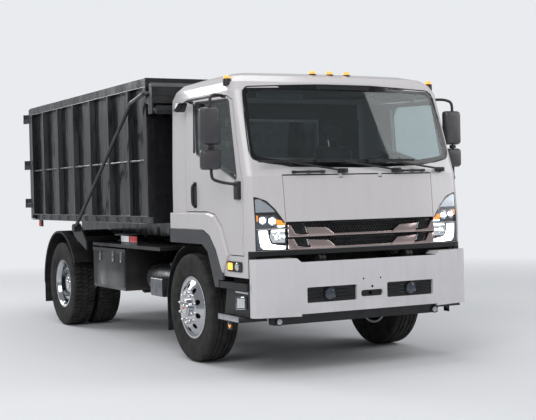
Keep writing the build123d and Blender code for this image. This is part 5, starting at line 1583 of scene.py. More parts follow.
@dataclass
class CabTrim:
    """Grab handles, wiper pivots, skirt lamps, door handles and air guides.

    Attributes:
        handles: near and far end of each grab handle across the truck.
        handle_height: height of the grab handles under the screen.
        pivots: places of the wiper pivots across the truck.
        pivot_height: their height.
        lock: the door handle's place, as (y, low, high).
    """

    handles: tuple[Flat, ...] = ((0.450, 0.700), (-0.395, -0.680))
    handle_height: float = 1.776
    pivots: tuple[float, ...] = (-0.190, 0.390, 0.900)
    pivot_height: float = 1.782
    lock: Point = (-2.022, 1.470, 1.712)

    def grab_handles(self, skin: Skin) -> None:
        """Makes the two grab handles, each with a middle bracket.

        Args:
            skin: the cab's faces.
        """
        shape = Shape()
        into, out = Vector((0, 0.004, 0)), Vector((0, -0.036, 0))
        for near, far in self.handles:
            foot, end = skin.at((near, self.handle_height))[0], skin.at((far, self.handle_height))[0]
            lean = (end - foot) * 0.06
            path = [foot + into, foot + out * 0.7 + lean * 0.2, foot + out + lean, end + out - lean,
                    end + out * 0.7 - lean * 0.2, end + into]
            shape.tube(swept(path, 5), 0.0105)
            for x, y, z in (foot, (foot + end) / 2 - into, end):
                shape.block((x - 0.017, y - 0.026, z - 0.013), (x + 0.017, y + 0.002, z + 0.013), 4)
        shape.piece("grab_handles", "cab", "black_plastic", [Finishes.BLACK])

    def wiper_pivots(self, skin: Skin) -> None:
        """Makes the covers over the wiper pivots.

        Args:
            skin: the cab's faces.
        """
        shape = Shape()
        knob = [(-0.066, 0.006), (-0.064, 0.012), (-0.050, 0.014), (0.0, 0.014)]
        for x in self.pivots:
            y, z = skin.at((x, self.pivot_height))[0].yz
            shape.block((x - 0.046, y - 0.052, z - 0.020), (x + 0.040, y + 0.002, z + 0.022), 9)
            shape.lathe(knob, (x, y - 0.002, z + 0.002), 16, axis=Axis.Y)
        shape.piece("wiper_pivots", "cab", "black_plastic", [Finishes.BLACK])

    @staticmethod
    def skirt_lamp(side: str, sign: int) -> None:
        """Makes the amber side lamp and its ring in the skirt ahead of the step.

        Args:
            side: left or right, for the names.
            sign: the side's sign across the truck.
        """
        skin = Skin(["cab_front_panels"], Axis.X, sign)
        pane = oblong((-2.990, 0.908), (-2.700, 0.998), 0.02)
        shape = skin.patch(Shape(), pane, 5, 6, 40, 0)
        skin.band(shape, pane, 8, 9, 8, 0)
        skin.patch(shape, oblong((-2.800, 0.922), (-2.712, 0.984), 0.014), 9, 5, 40, 1)
        place = skin.at((-2.893, 0.953))[0]
        for radius, deep, mark in ((0.036, 0.013, 2), (0.029, 0.016, 3)):
            profile = [(0.0, radius), (deep * 0.7, radius), (deep, radius * 0.86), (deep, radius * 0.3)]
            shape.lathe(profile, place, 24, mark, sign=sign)
        shape.piece(f"skirt_lamp_{side}", "cab", "lamp_amber",
                    [Finishes.GLOSS, Finishes.AMBER_SIDE, Finishes.CHROME, Finishes.CLEAR])

    def door_handle(self, side: str, sign: int) -> None:
        """Makes a door's recessed handle, its grip and its lock.

        Args:
            side: left or right, for the names.
            sign: the side's sign across the truck.
        """
        skin = Skin([f"door_{side}"], Axis.X, sign)
        y, low, high = self.lock
        shape = skin.patch(Shape(), oblong((y - 0.036, low), (y + 0.036, high), 0.018), 1.2, 3, 40, 0)
        skin.band(shape, oblong((y - 0.038, low - 0.002), (y + 0.038, high + 0.002), 0.019), 7, 4, 5, 1)
        face = skin.at((y, (low + high) / 2))[0].x
        grip = ((-0.006, high - 0.018), (0.024, high - 0.030), (0.032, high - 0.075), (0.032, low + 0.075),
                (0.024, low + 0.030), (-0.006, low + 0.018))
        shape.tube(swept([(face + out * sign, y, z) for out, z in grip], 5), 0.0125, 12, 1)
        lock = [(0.0, 0.013), (0.004, 0.013), (0.0055, 0.010), (0.0055, 0.003)]
        shape.lathe(lock, (face, y, low - 0.022), 18, 2, sign=sign)
        shape.piece(f"door_handle_{side}", f"door_{side}", "black_plastic",
                    [Finishes.GLOSS, Finishes.BLACK, Finishes.CHROME])

    def build(self) -> None:
        """Makes the cab's outer trim."""
        front = Skin(["cab_front_panels", "cab_glass"])
        self.grab_handles(front)
        self.wiper_pivots(front)
        guides = Shape()
        for sign in SIDES.values():
            guides.block((0.475, -3.026, 0.962), (1.050, -3.016, 1.137), 3, 0, sign)
        guides.piece("air_guides", "cab", "black_plastic", [Finishes.BLACK])
        for side, sign in SIDES.items():
            self.skirt_lamp(side, sign)
            self.door_handle(side, sign)


@dataclass
class BumperTrim:
    """Fog lamps in the side slots, the middle slot's frame, screws and the lower lamps.

    Attributes:
        screws: discs of the screws as (x, z, radius).
        fog: place of the left fog lamp.
        low: place of the left lower lamp.
        lamps: turned parts as (place, segments, finish, profile).
        slats: near and far end across the truck of the slats beside the fog lamp.
    """

    screws: tuple[Point, ...] = ((-0.090, 0.815, 0.008), (0.090, 0.815, 0.008), (0.0, 0.742, 0.011))
    fog: ClassVar[Point] = (0.430, -3.262, 0.700)
    low: ClassVar[Point] = (0.835, -3.061, 0.462)
    lamps: ClassVar[tuple[tuple[Point, int, int, Outline], ...]] = (
        (fog, 32, 0, ((0.002, 0.058), (-0.020, 0.060), (-0.024, 0.054), (-0.006, 0.040), (-0.004, 0.02))),
        (fog, 32, 1, ((-0.004, 0.050), (-0.018, 0.050), (-0.023, 0.036), (-0.025, 0.015))),
        (low, 28, 2, ((0.004, 0.034), (-0.018, 0.036), (-0.022, 0.031), (-0.022, 0.028))),
        (low, 28, 3, ((-0.018, 0.029), (-0.026, 0.022), (-0.028, 0.008))),
    )
    slats: tuple[Flat, ...] = ((0.170, 0.362), (0.498, 0.658))

    def build(self) -> None:
        """Makes the bumper's trim and the corner lamps by the steps."""
        skin = Skin(["front_bumper"])
        shape = skin.band(Shape(), oblong((-0.142, 0.640), (0.142, 0.728), 0.030), 12, 2.6, 4, 0)
        for x, z, radius in self.screws:
            skin.patch(shape, disc((x, z), radius, 14), 0.6, 2, 30, 1)
        shape.piece("bumper_frame", "chassis", "cab_white", [Finishes.BUMPER, Finishes.GLOSS])
        lamps = Shape()
        depth = self.fog[1]
        for sign in SIDES.values():
            for (x, y, z), steps, mark, profile in self.lamps:
                lamps.lathe(profile, (x * sign, y, z), steps, mark, Axis.Y)
            for near, far in self.slats:
                for z in (0.668, 0.700, 0.732):
                    lamps.block((near, depth - 0.012, z - 0.004), (far, depth + 0.002, z + 0.004), 2, 0, sign)
        lamps.piece("bumper_lamps", "chassis", "lamp_clear",
                    [Finishes.GLOSS, Finishes.FOG, Finishes.BLACK, Finishes.CLEAR])


@dataclass
class StepTrim:
    """Corner lamp, light strip, ribs, tread plate and reflector of each cab step.

    Attributes:
        reflector: outline of the amber reflector, as (y, z).
        lamp: middle of the left corner lamp.
        shells: the corner lamp's parts as (half width, reach to the front and the rear, half height,
            rounding in mm, finish).
    """

    reflector: Outline = ((-2.800, 0.438), (-2.830, 0.438), (-2.800, 0.408), (-2.770, 0.438))
    lamp: Point = (1.140, -2.966, 0.640)
    shells: ClassVar[tuple[tuple, ...]] = (
        (0.056, 0.018, 0.016, 0.058, 10, 2), (0.049, 0.022, -0.012, 0.051, 6, 3),
        (0.041, 0.026, -0.018, 0.043, 5, 1),
    )

    def side(self, sign: int) -> tuple[Shape, Shape]:
        """The trim and the lamps of one side.

        Args:
            sign: the side's sign across the truck.

        Returns:
            Both shapes.
        """
        trim, lamps = Shape(), Shape()
        for z in (0.766, 0.782, 0.798):
            trim.block((1.160, -3.085, z - 0.0025), (1.1650, -2.562, z + 0.0025), 1.2, 0, sign)
        for k in range(9):
            y = -2.965 + 0.046 * k
            trim.block((0.935, y, 0.507), (1.180, y + 0.018, 0.5125), 2, 1, sign)
        trim.block((1.184, -2.985, 0.474), (1.1925, -2.575, 0.524), 2, 1, sign)
        trim.block((1.176, -2.842, 0.396), (1.186, -2.758, 0.476), 3, 2, sign)
        # The amber reflector takes the lit amber lens finish: its glow is painted light, as a reflector is no
        # lamp
        lamps.prism(self.reflector, Axis.X, 1.185 * sign, 1.190 * sign, 1, 0)
        lamps.block((1.126, -3.064, 0.722), (1.134, -2.822, 0.738), 3, 1, sign)
        x, y, z = self.lamp
        x *= sign
        lamp = Shape()
        for wide, front, rear, tall, round_mm, mark in self.shells:
            lamp.block((x - wide, y - front, z - tall), (x + wide, y + rear, z + tall), round_mm, mark)
        there = Matrix.Translation((x, y, z))
        lamps.join(lamp.moved(there @ Matrix.Rotation(math.radians(45 * sign), 4, "Z") @ there.inverted()))
        return trim, lamps

    def build(self) -> None:
        """Makes both steps' trim."""
        for side, sign in SIDES.items():
            trim, lamps = self.side(sign)
            trim.piece(f"step_trim_{side}", "chassis", "black_plastic",
                       [Finishes.BLACK, Finishes.TREAD, Finishes.GLOSS])
            lamps.piece(f"step_lamps_{side}", "chassis", "lamp_clear",
                        [Finishes.AMBER, Finishes.CLEAR, Finishes.CHROME, Finishes.GLOSS])


@dataclass
class Mirrors:
    """Mirror heads with rounded shells, their pipe frame, the rail over the door and the look-down mirror.

    Attributes:
        x: place of the heads across the truck.
        y: their place along it, from the front axle.
        heads: foot and top of each head.
        pipes: lines of the pipes as (steps of each stretch, radius, segments, path), with y from the front
            axle.
        clamps: clamps and feet as two corners, rounding in mm and finish, with y from the front axle.
    """

    x: ClassVar[float] = 1.317
    y: ClassVar[float] = -0.880
    heads: tuple[Flat, ...] = ((2.032, 2.363), (1.812, 1.994))
    pipes: ClassVar[tuple[tuple, ...]] = (
        (6, 0.0135, 14, ((1.150, -1.045, 1.680), (1.190, -1.022, 1.684), (1.260, -0.965, 1.700),
                         (1.306, -0.895, 1.728), (x, y, 1.775), (x, y, 1.830))),
        (6, 0.0135, 14, ((x, y, 2.330), (x, y, 2.405), (1.305, y + 0.010, 2.450), (1.262, y + 0.045, 2.474),
                         (1.200, -0.800, 2.479), (1.142, -0.780, 2.474))),
        (1, 0.012, 12, ((x, y, 1.815), (x, y, 2.345))),
        (5, 0.0105, 12, ((1.134, -0.780, 2.470), (1.176, -0.775, 2.476), (1.190, -0.745, 2.478),
                         (1.190, -0.420, 2.481), (1.190, -0.105, 2.483), (1.176, -0.075, 2.480),
                         (1.134, -0.070, 2.470))),
        (1, 0.009, 10, ((1.190, -0.100, 2.484), (1.200, 0.010, 2.458))),
    )
    clamps: ClassVar[tuple[Block, ...]] = (
        ((1.130, -1.100, 1.545), (1.168, -1.000, 1.705), 8, 2),
        ((x - 0.026, y - 0.022, 1.996), (x + 0.026, y + 0.022, 2.028), 6, 2),
        ((1.116, -0.801, 2.458), (1.148, -0.759, 2.482), 6, 2),
        ((1.116, -0.091, 2.458), (1.148, -0.049, 2.482), 6, 2),
    )

    def head(self, shape: Shape, low: float, high: float) -> None:
        """Adds one head: a rounded shell towards the front, glass towards the rear.

        Args:
            shape: the shape that it joins.
            low: its lower corner.
            high: its upper corner.
        """
        middle, half = (low + high) / 2, (high - low) / 2

        def ring(along: float, wide: float, tall: float, radius: float) -> list[Point]:
            """One section of the head, at a place behind its middle."""
            flat = oblong((self.x - wide, middle - tall), (self.x + wide, middle + tall), radius)
            return behind_axle([(a, self.y + along, b) for a, b in flat])

        shell = ((-0.032, 0.034), (-0.028, 0.016), (-0.016, 0.006), (0.004, 0.0), (0.036, 0.0),
                 (0.041, 0.003))
        shape.loft([ring(along, 0.094 - shrink, half - shrink, 0.034) for along, shrink in shell], 0)
        shape.loft([ring(along, 0.082, half - 0.012, 0.026) for along in (0.038, 0.0425)], 1)

    def side(self) -> Shape:
        """The left side's mirrors.

        Returns:
            The shape.
        """
        shape = Shape().blocks(self.clamps)
        for steps, radius, sides, path in self.pipes:
            shape.tube(swept(behind_axle(path), steps), radius, sides, 2)
        for low, high in self.heads:
            self.head(shape, low, high)
        look_down = [(aft(y), z) for y, z in
                     ((-0.058, 2.468), (0.038, 2.478), (0.108, 2.400), (0.020, 2.382))]
        shape.prism(rounded(look_down, 0.02), Axis.X, 1.161, 1.249, 8, 3)
        face = [(aft(y), z) for y, z in ((0.044, 2.466), (0.048, 2.470), (0.108, 2.404), (0.104, 2.400))]
        return shape.prism(face, Axis.X, 1.168, 1.242, 1, 1)

    def build(self) -> None:
        """Makes the mirrors of both doors."""
        left = self.side()
        for side, shape in (("left", left), ("right", left.mirrored())):
            shape.piece(f"mirror_set_{side}", f"door_{side}", "grey_plastic",
                        [Finishes.SHELL, Finishes.MIRROR, Finishes.BLACK, Finishes.GLOSS],
                        [f"mirrors_{side}"])


@dataclass
class Cushions:
    """Padded seat parts: cloth blown up a little, then sewn.

    Attributes:
        voxel: size of the remesh.
        frames: steps of the simulation.
        pressure: air pressure in the cushion.
        cap: furthest that a point may move.
        seam: half width of a sewn channel.
    """

    voxel: float = 0.007
    frames: int = 16
    pressure: float = 4.0
    cap: float = 0.016
    seam: float = 0.016

    def puff(self, rings: Sequence[Sequence[Sequence[float]]]) -> tuple[list[Vector], list[tuple[int, ...]]]:
        """Closes a form through rings of points, remeshes it and lets cloth under pressure round it.

        Args:
            rings: the form's rings.

        Returns:
            The resting places of its vertices, and its faces.
        """
        scene = bpy.context.scene
        mesh = Shape().loft(rings).mesh("cushion")
        face_outward(mesh)
        made = linked("cushion", mesh)
        bpy.context.view_layer.objects.active = made
        remesh = made.modifiers.new("remesh", "REMESH")
        remesh.mode, remesh.voxel_size = "VOXEL", self.voxel * 1
        graph = bpy.context.evaluated_depsgraph_get()
        fine = bpy.data.meshes.new_from_object(made.evaluated_get(graph))
        made.modifiers.clear()
        made.data = fine
        start = [v.co.copy() for v in fine.vertices]
        cloth = made.modifiers.new("cloth", "CLOTH")
        cloth.settings.quality = 4
        cloth.settings.use_pressure = True
        cloth.settings.uniform_pressure_force = self.pressure
        cloth.settings.effector_weights.gravity = 0.0
        cloth.point_cache.frame_start, cloth.point_cache.frame_end = 1, self.frames
        for step in range(1, self.frames + 1):
            scene.frame_set(step)
        graph = bpy.context.evaluated_depsgraph_get()
        blown = made.evaluated_get(graph).to_mesh()
        for vertex, place, home in zip(fine.vertices, [v.co.copy() for v in blown.vertices], start):
            move = place - home
            if move.length > self.cap:
                move = move.normalized() * self.cap
            vertex.co = home + move
        made.evaluated_get(graph).to_mesh_clear()
        made.modifiers.clear()
        scene.frame_set(1)
        places = [v.co.copy() for v in fine.vertices]
        faces = [tuple(p.vertices) for p in fine.polygons]
        bpy.data.objects.remove(made)
        return places, faces

    def sew(self, places: list[Vector], channels: Sequence[float], along: int, depth: float, axis: int,
            outward: int) -> None:
        """Presses sewn channels into one face.

        Args:
            places: vertices, moved in place.
            channels: places of the channels.
            along: coordinate in which they are spaced.
            depth: their depth.
            axis: coordinate of the face's direction.
            outward: 1 if the face looks up that coordinate, otherwise -1.
        """
        low = min(p[axis] for p in places)
        high = max(p[axis] for p in places)
        for p in places:
            near = min(abs(p[along] - c) for c in channels)
            face = (p[axis] - low) / (high - low)
            if outward < 0:
                face = 1 - face
            if near < self.seam and face > 0.3:
                dip = 0.5 + 0.5 * math.cos(math.pi * near / self.seam)
                p[axis] -= outward * depth * dip * min(1.0, (face - 0.3) / 0.2)


@dataclass
class Seats:
    """Driver's seat and bench: cushions, backrests and headrests with sewn channels.

    Attributes:
        spans: low and high x of each seat.
        cushions: the padding's maker.
    """

    spans: tuple[Flat, ...] = ((0.350, 0.830), (-0.900, -0.350))
    cushions: Cushions = field(default_factory=Cushions)

    @staticmethod
    def slab(low: Flat, high: Flat, lean: Callable[[float], float], thick: float,
             axis: Axis) -> list[list[Point]]:
        """Rings of a slab with rounded, drawn-in edges.

        Args:
            low: lowest corner in x and in the slab's other direction.
            high: highest corner.
            lean: place of the slab's middle for a place along the other direction.
            thick: its thickness.
            axis: direction of its thickness, Z for a cushion and Y for a backrest.

        Returns:
            Rings from one face to the other.
        """
        rings = []
        for t in (-1.0, -0.86, -0.45, 0.0, 0.45, 0.86, 1.0):
            draw = 0.030 * (1 - math.sqrt(max(0.0, 1 - t * t))) + 0.008
            ring = []
            for a, b in oblong((low[0] + draw, low[1] + draw), (high[0] - draw, high[1] - draw), 0.07):
                across = lean(b) + t * thick / 2
                ring.append((a, b, across) if axis is Axis.Z else (a, across, b))
            rings.append(ring)
        return rings

    def pads(self) -> dict[str, tuple[list[Vector], list[tuple[int, ...]]]]:
        """Vertices and faces of the driver's cushion, backrest and headrest.

        Returns:
            Points and faces by the pad's name.
        """
        low, high = self.spans[0]
        middle = (low + high) / 2
        parts = {
            "cushion": (self.slab((low + 0.010, aft(-0.412)), (high - 0.010, aft(0.060)),
                                  lambda b: 1.478 - 0.05 * (b - aft(-0.17)), 0.088, Axis.Z),
                        (low + 0.12, high - 0.12), 0, 0.010, 2, 1),
            "backrest": (self.slab((low + 0.010, 1.520), (high - 0.010, 2.085),
                                   lambda b: aft(0.100) + 0.205 * (b - 1.55), 0.082, Axis.Y),
                         (1.66, 1.80, 1.94), 2, 0.008, 1, -1),
            "headrest": (self.slab((middle - 0.118, 2.112), (middle + 0.118, 2.285),
                                   lambda b: aft(0.215) + 0.16 * (b - 2.2), 0.050, Axis.Y),
                         (2.2,), 2, 0.004, 1, -1),
        }
        made = {}
        for name, (rings, *seams) in parts.items():
            places, faces = self.cushions.puff(rings)
            self.cushions.sew(places, *seams)
            made[name] = (places, faces)
        return made

    def build(self) -> None:
        """Makes the seats in place of the plain solids."""
        home, home_end = self.spans[0]
        middle = (home + home_end) / 2
        soft = self.pads()
        for title, (low, high), nodes in zip(("driver_seat", "bench"), self.spans, (["seats"], ())):
            base = Shape().blocks([((low + 0.062, -0.338, 1.182), (high - 0.062, 0.058, 1.418), 12, 0),
                                   ((low + 0.040, -0.360, 1.400), (high - 0.040, 0.070, 1.432), 8, 0)])
            centre = (low + high) / 2
            for x in (centre - 0.06, centre + 0.06):
                base.tube(behind_axle([(x, 0.185, 2.06), (x, 0.205, 2.14)]), 0.007, 10, 1)
            base.piece(f"{title}_base", "cab", "black_plastic", [Finishes.INNER, Finishes.CHROME], nodes)
            scale = (high - low) / (home_end - home)
            for name, (places, faces) in soft.items():
                if name == "headrest":
                    points = [(p.x + centre - middle, p.y, p.z) for p in places]
                else:
                    points = [((p.x - home) * scale + low, p.y, p.z) for p in places]
                shape = Shape().take(points, faces)
                made = shape.piece(f"{title}_{name}", "cab", "seat_cloth", [Finishes.CLOTH])


@dataclass
class Cabin:
    """Linings, door cards, gauges and wheel boss, in dark greys that are partly their own colour and partly
    painted shade inside the closed cab, so that the glass reads as glass.

    Attributes:
        panels: rear wall's linings, headliner, its front rail and floor mat, as two corners, rounding in mm
            and finish, with y from the front axle.
        visors: the left sun visor, likewise.
        card: outline of a door's inner card, as (y, z).
        hood: the instrument hood, its face and the middle console, like the panels.
        vents: places of the vents across the truck.
        gauges: places of the gauges across the truck.
    """

    panels: ClassVar[tuple[Block, ...]] = (
        ((-1.050, 0.404, 1.185), (1.050, 0.412, 1.935), 3, 0),
        ((-1.050, 0.404, 2.355), (1.030, 0.412, 2.520), 3, 0),
        ((-1.045, 0.404, 1.935), (-0.545, 0.412, 2.355), 3, 0),
        ((0.545, 0.404, 1.935), (1.045, 0.412, 2.355), 3, 0),
        ((-0.930, -0.820, 2.560), (0.930, 0.330, 2.572), 4, 1),
        ((-0.960, -0.560, 2.520), (0.960, -0.540, 2.565), 4, 0),
        ((-1.020, -0.860, 1.182), (1.020, 0.390, 1.190), 3, 0),
    )
    visors: ClassVar[tuple[Block, ...]] = (
        ((0.390, -0.900, 2.445), (0.860, -0.885, 2.555), 6, 1),
    )
    card: Outline = ((-2.985, 1.085), (-2.760, 1.085), (-2.600, 1.350), (-2.450, 1.445), (-2.280, 1.462),
                     (-1.860, 1.462), (-1.860, 1.970), (-2.050, 1.950), (-2.450, 1.845), (-2.890, 1.690),
                     (-2.985, 1.655))
    hood: ClassVar[tuple[Block, ...]] = (
        ((0.330, -1.040, 1.735), (0.800, -0.905, 1.862), 22, 0),
        ((0.352, -0.909, 1.748), (0.778, -0.901, 1.846), 6, 1),
        ((-0.120, -0.890, 1.480), (0.230, -0.862, 1.640), 8, 1),
    )
    vents: tuple[float, ...] = (-0.860, -0.330, 0.120)
    gauges: tuple[float, ...] = (0.450, 0.680)

    def linings(self) -> None:
        """Makes the rear wall's lining, the headliner, the sun visors and the floor mat."""
        shape = Shape().blocks(self.panels)
        for sign in SIDES.values():
            shape.blocks(self.visors, sign)
        shape.piece("cab_linings", "cab", "grey_plastic", [Finishes.INNER, Finishes.LINER])

    def cards(self) -> None:
        """Makes the doors' inner cards with armrest and grab handle."""
        grip = ((1.076, -2.620, 1.640), (1.040, -2.600, 1.655), (1.040, -2.480, 1.700),
                (1.076, -2.460, 1.715))
        for side, sign in SIDES.items():
            shape = Shape().prism(self.card, Axis.X, 1.074 * sign, 1.084 * sign, 3, 0)
            shape.block((1.020, -2.640, 1.560), (1.078, -2.060, 1.600), 10, 0, sign)
            shape.tube([(x * sign, y, z) for x, y, z in grip], 0.010, 10, 1)
            shape.piece(f"door_card_{side}", f"door_{side}", "grey_plastic", [Finishes.INNER, Finishes.BLACK])

    def dash(self) -> None:
        """Makes the instrument hood, vents, switches and the steering wheel's boss."""
        vents = [((x - 0.070, -0.900, 1.660), (x + 0.070, -0.870, 1.712), 6, 1) for x in self.vents]
        switches = [((-0.085 + 0.06 * k, -0.868, 1.500), (-0.045 + 0.06 * k, -0.855, 1.530), 3, 0)
                    for k in range(5)]
        shape = Shape().blocks([*self.hood, *vents, *switches])
        gauge = [(0.0, 0.042), (0.004, 0.042), (0.005, 0.038), (0.002, 0.036)]
        for x in self.gauges:
            shape.lathe(gauge, (x, aft(-0.902), 1.798), 28, 2, Axis.Y)
        boss = [(0.0, 0.030), (0.0, 0.070), (0.020, 0.066), (0.034, 0.050), (0.036, 0.010)]
        spot = Matrix.Translation((0.560, aft(-0.700), 1.800)) @ Matrix.Rotation(math.radians(-45), 4, "X")
        shape.join(Shape().lathe(boss, (0.0, 0.0, 0.0), 24, 0, Axis.Z).moved(spot))
        shape.piece("dash_fittings", "cab", "grey_plastic", [Finishes.INNER, Finishes.GLOSS, Finishes.CHROME])

    def build(self) -> None:
        """Makes the cab's inside."""
        self.linings()
        self.cards()
        self.dash()


@dataclass
class BoxTrim:
    """Rope hooks, weld beads, pale rods of painted highlight along the rails' edges and a red marker of the
    container, and its gates' lock bars.

    Attributes:
        hooks: rope hooks on a side.
        pitch: their spacing.
        ribs: places of the side's ribs behind the front axle.
        row: maker of the hooks' row.
    """

    hooks: int = 12
    pitch: float = 0.350
    ribs: tuple[float, ...] = (4.445, 3.831, 3.217, 2.603, 1.989, 1.375)
    row: Repeater = field(default_factory=lambda: Repeater(Pattern.ROW))

    def side(self, sign: int) -> Shape:
        """Hooks and welds of one side, drawn on the left and mirrored.

        Args:
            sign: the side's sign across the truck.

        Returns:
            The shape.
        """
        bent = [(0.0, 0.0, 0.020), (0.014, 0.0, 0.012), (0.020, 0.0, -0.006), (0.012, 0.0, -0.024),
                (-0.004, 0.0, -0.026)]
        hook = Shape().tube(swept(bent, 3), 0.0045, 6)
        shape = self.row.run(hook, Finishes.BOX, self.hooks, step=(0, self.pitch, 0))
        shape = shape.moved(Matrix.Translation((1.234, aft(0.990), 1.352)))
        for rib in self.ribs:
            for edge in (-0.040, 0.040):
                weld = [(1.1755, rib + edge, 1.388), (1.1755, rib + edge, 2.702)]
                shape.tube(behind_axle(weld), 0.0035, 6, 0)
        for z in (1.3865, 2.7035):
            shape.tube(behind_axle([(1.1765, 0.930, z), (1.1765, 4.910, z)]), 0.0035, 6, 0)
        # Thin pale rods along the rails' upper and lower edges: painted highlight on the glossy black edges
        for x, z in ((1.2355, 1.3845), (1.2355, 1.3105), (1.2355, 2.7055), (1.2350, 2.7940)):
            shape.tube(behind_axle([(x, 0.835, z), (x, 5.005, z)]), 0.0028, 6, 2)
        shape.blocks([((1.208, 4.600, 1.222), (1.232, 4.720, 1.312), 5, 0),
                      ((1.230, 4.614, 1.232), (1.2395, 4.706, 1.292), 4, 1)])
        return shape if sign > 0 else shape.mirrored()

    @staticmethod
    def lock_bars(side: str, sign: int) -> None:
        """Makes a gate's lock bar with its guides and lever.

        Args:
            side: left or right, for the names.
            sign: the side's sign across the truck.
        """
        x = 0.052 if sign > 0 else 0.060
        rear = aft(5.095)
        bar = rear + 0.026
        shape = Shape().tube([(x * sign, bar, 1.352), (x * sign, bar, 2.752)], 0.014, 14, 0)
        for z in (1.400, 1.700, 2.050, 2.400, 2.700):
            shape.block((x - 0.024, rear - 0.002, z - 0.025), (x + 0.024, bar + 0.018, z + 0.025), 4, 1, sign)
        lever = [((x + along) * sign, bar + out, z) for along, out, z in
                 ((0.0, 0.010, 1.620), (0.040, 0.030, 1.622), (0.300, 0.030, 1.622), (0.340, 0.022, 1.622))]
        shape.tube(swept(lever, 4), 0.011, 10, 0)
        shape.block((x + 0.200, rear - 0.002, 1.600), (x + 0.232, bar + 0.034, 1.644), 4, 1, sign)
        # Red reflective tape on the gate, with a faint glow of painted light
        for z in (1.470, 2.560):
            shape.block((0.780, rear, z - 0.025), (1.080, rear + 0.003, z + 0.025), 1, 2, sign)
        shape.piece(f"lock_bar_{side}", f"gate_{side}", "box_black",
                    [Finishes.STEEL, Finishes.BOX, Finishes.RED_TAPE])

    def build(self) -> None:
        """Makes the trim of the container and its gates."""
        for side, sign in SIDES.items():
            self.side(sign).piece(f"box_fittings_{side}", "dump_body", "box_black",
                                  [Finishes.BOX, Finishes.RED, Finishes.PAINTED_EDGE_HIGHLIGHT])
            self.lock_bars(side, sign)


@dataclass
class ChassisTrim:
    """Bolts, tank straps, pipes, rear lamps, the reflective tape and the tool box's latches.

    Attributes:
        bolts: bolt heads in a row.
        pitch: their spacing.
        filler: the filler cap's middle, with y from the front axle.
        row: maker of the bolts' rows.
    """

    bolts: int = 38
    pitch: float = 0.155
    filler: Point = (1.060, 1.100, 1.006)
    row: Repeater = field(default_factory=lambda: Repeater(Pattern.ROW))

    def rail_bolts(self) -> None:
        """Makes the rows of bolt heads along both rails."""
        head = Shape().lathe([(0.0, 0.013), (0.008, 0.013), (0.010, 0.010)], (0, 0, 0), 6)
        shape = Shape()
        for z in (0.778, 0.905):
            line = self.row.run(head, Finishes.CHASSIS, self.bolts, step=(0, self.pitch, 0))
            shape.join(line.moved(Matrix.Translation((0.4295, aft(-1.06), z))))
        shape.join(shape.mirrored())
        shape.piece("rail_bolts", "chassis", "frame_black", [Finishes.CHASSIS])

    def tank(self) -> None:
        """Makes the fuel tank's straps, filler cap and its grips."""
        shape = Shape()
        strap = oblong((0.5565, 0.5365), (1.1235, 1.0035), 0.083)
        for place in (aft(1.150), aft(1.900)):
            shape.prism(strap, Axis.Y, place - 0.024, place + 0.024, 1, 0)
            shape.block((1.118, place - 0.012, 0.735), (1.128, place + 0.012, 0.800), 2, 1)
        x, y, z = self.filler
        cap = [(0.0, 0.046), (0.012, 0.048), (0.024, 0.048), (0.030, 0.042), (0.030, 0.010)]
        shape.lathe(cap, (x, aft(y), z), 28, 1, Axis.Z)
        for a, b in disc((x, aft(y)), 0.046, 8):
            shape.block((a - 0.004, b - 0.004, z + 0.004), (a + 0.004, b + 0.004, z + 0.026), 1.5, 1)
        shape.piece("tank_straps", "chassis", "steel_tube", [Finishes.STEEL, Finishes.BLACK])

    @staticmethod
    def pipes() -> None:
        """Makes the brake and oil pipes along the frame."""
        shape = Shape()
        for x, z in ((-0.447, 0.955), (-0.452, 0.925), (0.447, 0.955)):
            shape.tube(behind_axle([(x, -0.60, z), (x, 1.72, z), (x, 2.90, z - 0.010)]), 0.0065, 8, 0)
        shape.piece("air_and_oil_lines", "chassis", "black_plastic", [Finishes.HOSE])

    @staticmethod
    def rear_lamps() -> None:
        """Makes the rear lamps on their brackets."""
        rows = [((0.645, 4.956, 0.574), (0.995, 4.982, 0.686), 6, 0)]
        rows += [((low, 4.978, 0.584), (high, 4.992, 0.676), 4, mark) for low, high, mark in
                 ((0.655, 0.765, 1), (0.772, 0.872, 2), (0.879, 0.925, 3), (0.932, 0.985, 1))]
        rows.append(((1.030, 4.978, 0.482), (1.095, 4.992, 0.558), 4, 1))
        shape = Shape()
        for sign in SIDES.values():
            shape.blocks(rows, sign)
        shape.piece("rear_lamps", "chassis", "lamp_amber",
                    [Finishes.BLACK, Finishes.RED, Finishes.AMBER, Finishes.CLEAR])

    @staticmethod
    def right_side() -> None:
        """Makes the tool box's lid, its latches and the reflective tape on the deck's edge."""
        rows = [((1.1500, 1.785, 0.588), (1.1555, 2.785, 0.966), 4, 0)]
        for place in (1.862, 2.120, 2.540):
            rows.append(((1.1540, place - 0.030, 0.872), (1.1660, place + 0.030, 0.978), 4, 1))
            rows.append(((1.1640, place - 0.011, 0.866), (1.1720, place + 0.011, 0.940), 3, 2))
        rows.append(((1.1455, 1.392, 1.064), (1.1500, 1.876, 1.164), 1.5, 0))
        # White and red reflective tape, with a faint glow of painted light
        rows += [((1.1495, near, 1.098), (1.1520, near + 0.236, 1.162), 0.6, mark) for near, mark in
                 ((1.396, 4), (1.634, 3))]
        Shape().blocks(rows, -1).piece(
            "tool_box_trim", "chassis", "steel_tube",
            [Finishes.HOIST, Finishes.STEEL, Finishes.ALLOY, Finishes.WHITE_TAPE, Finishes.RED_TAPE])

    def build(self) -> None:
        """Makes the chassis' small parts."""
        self.rail_bolts()
        self.tank()
        self.pipes()
        self.rear_lamps()
        self.right_side()


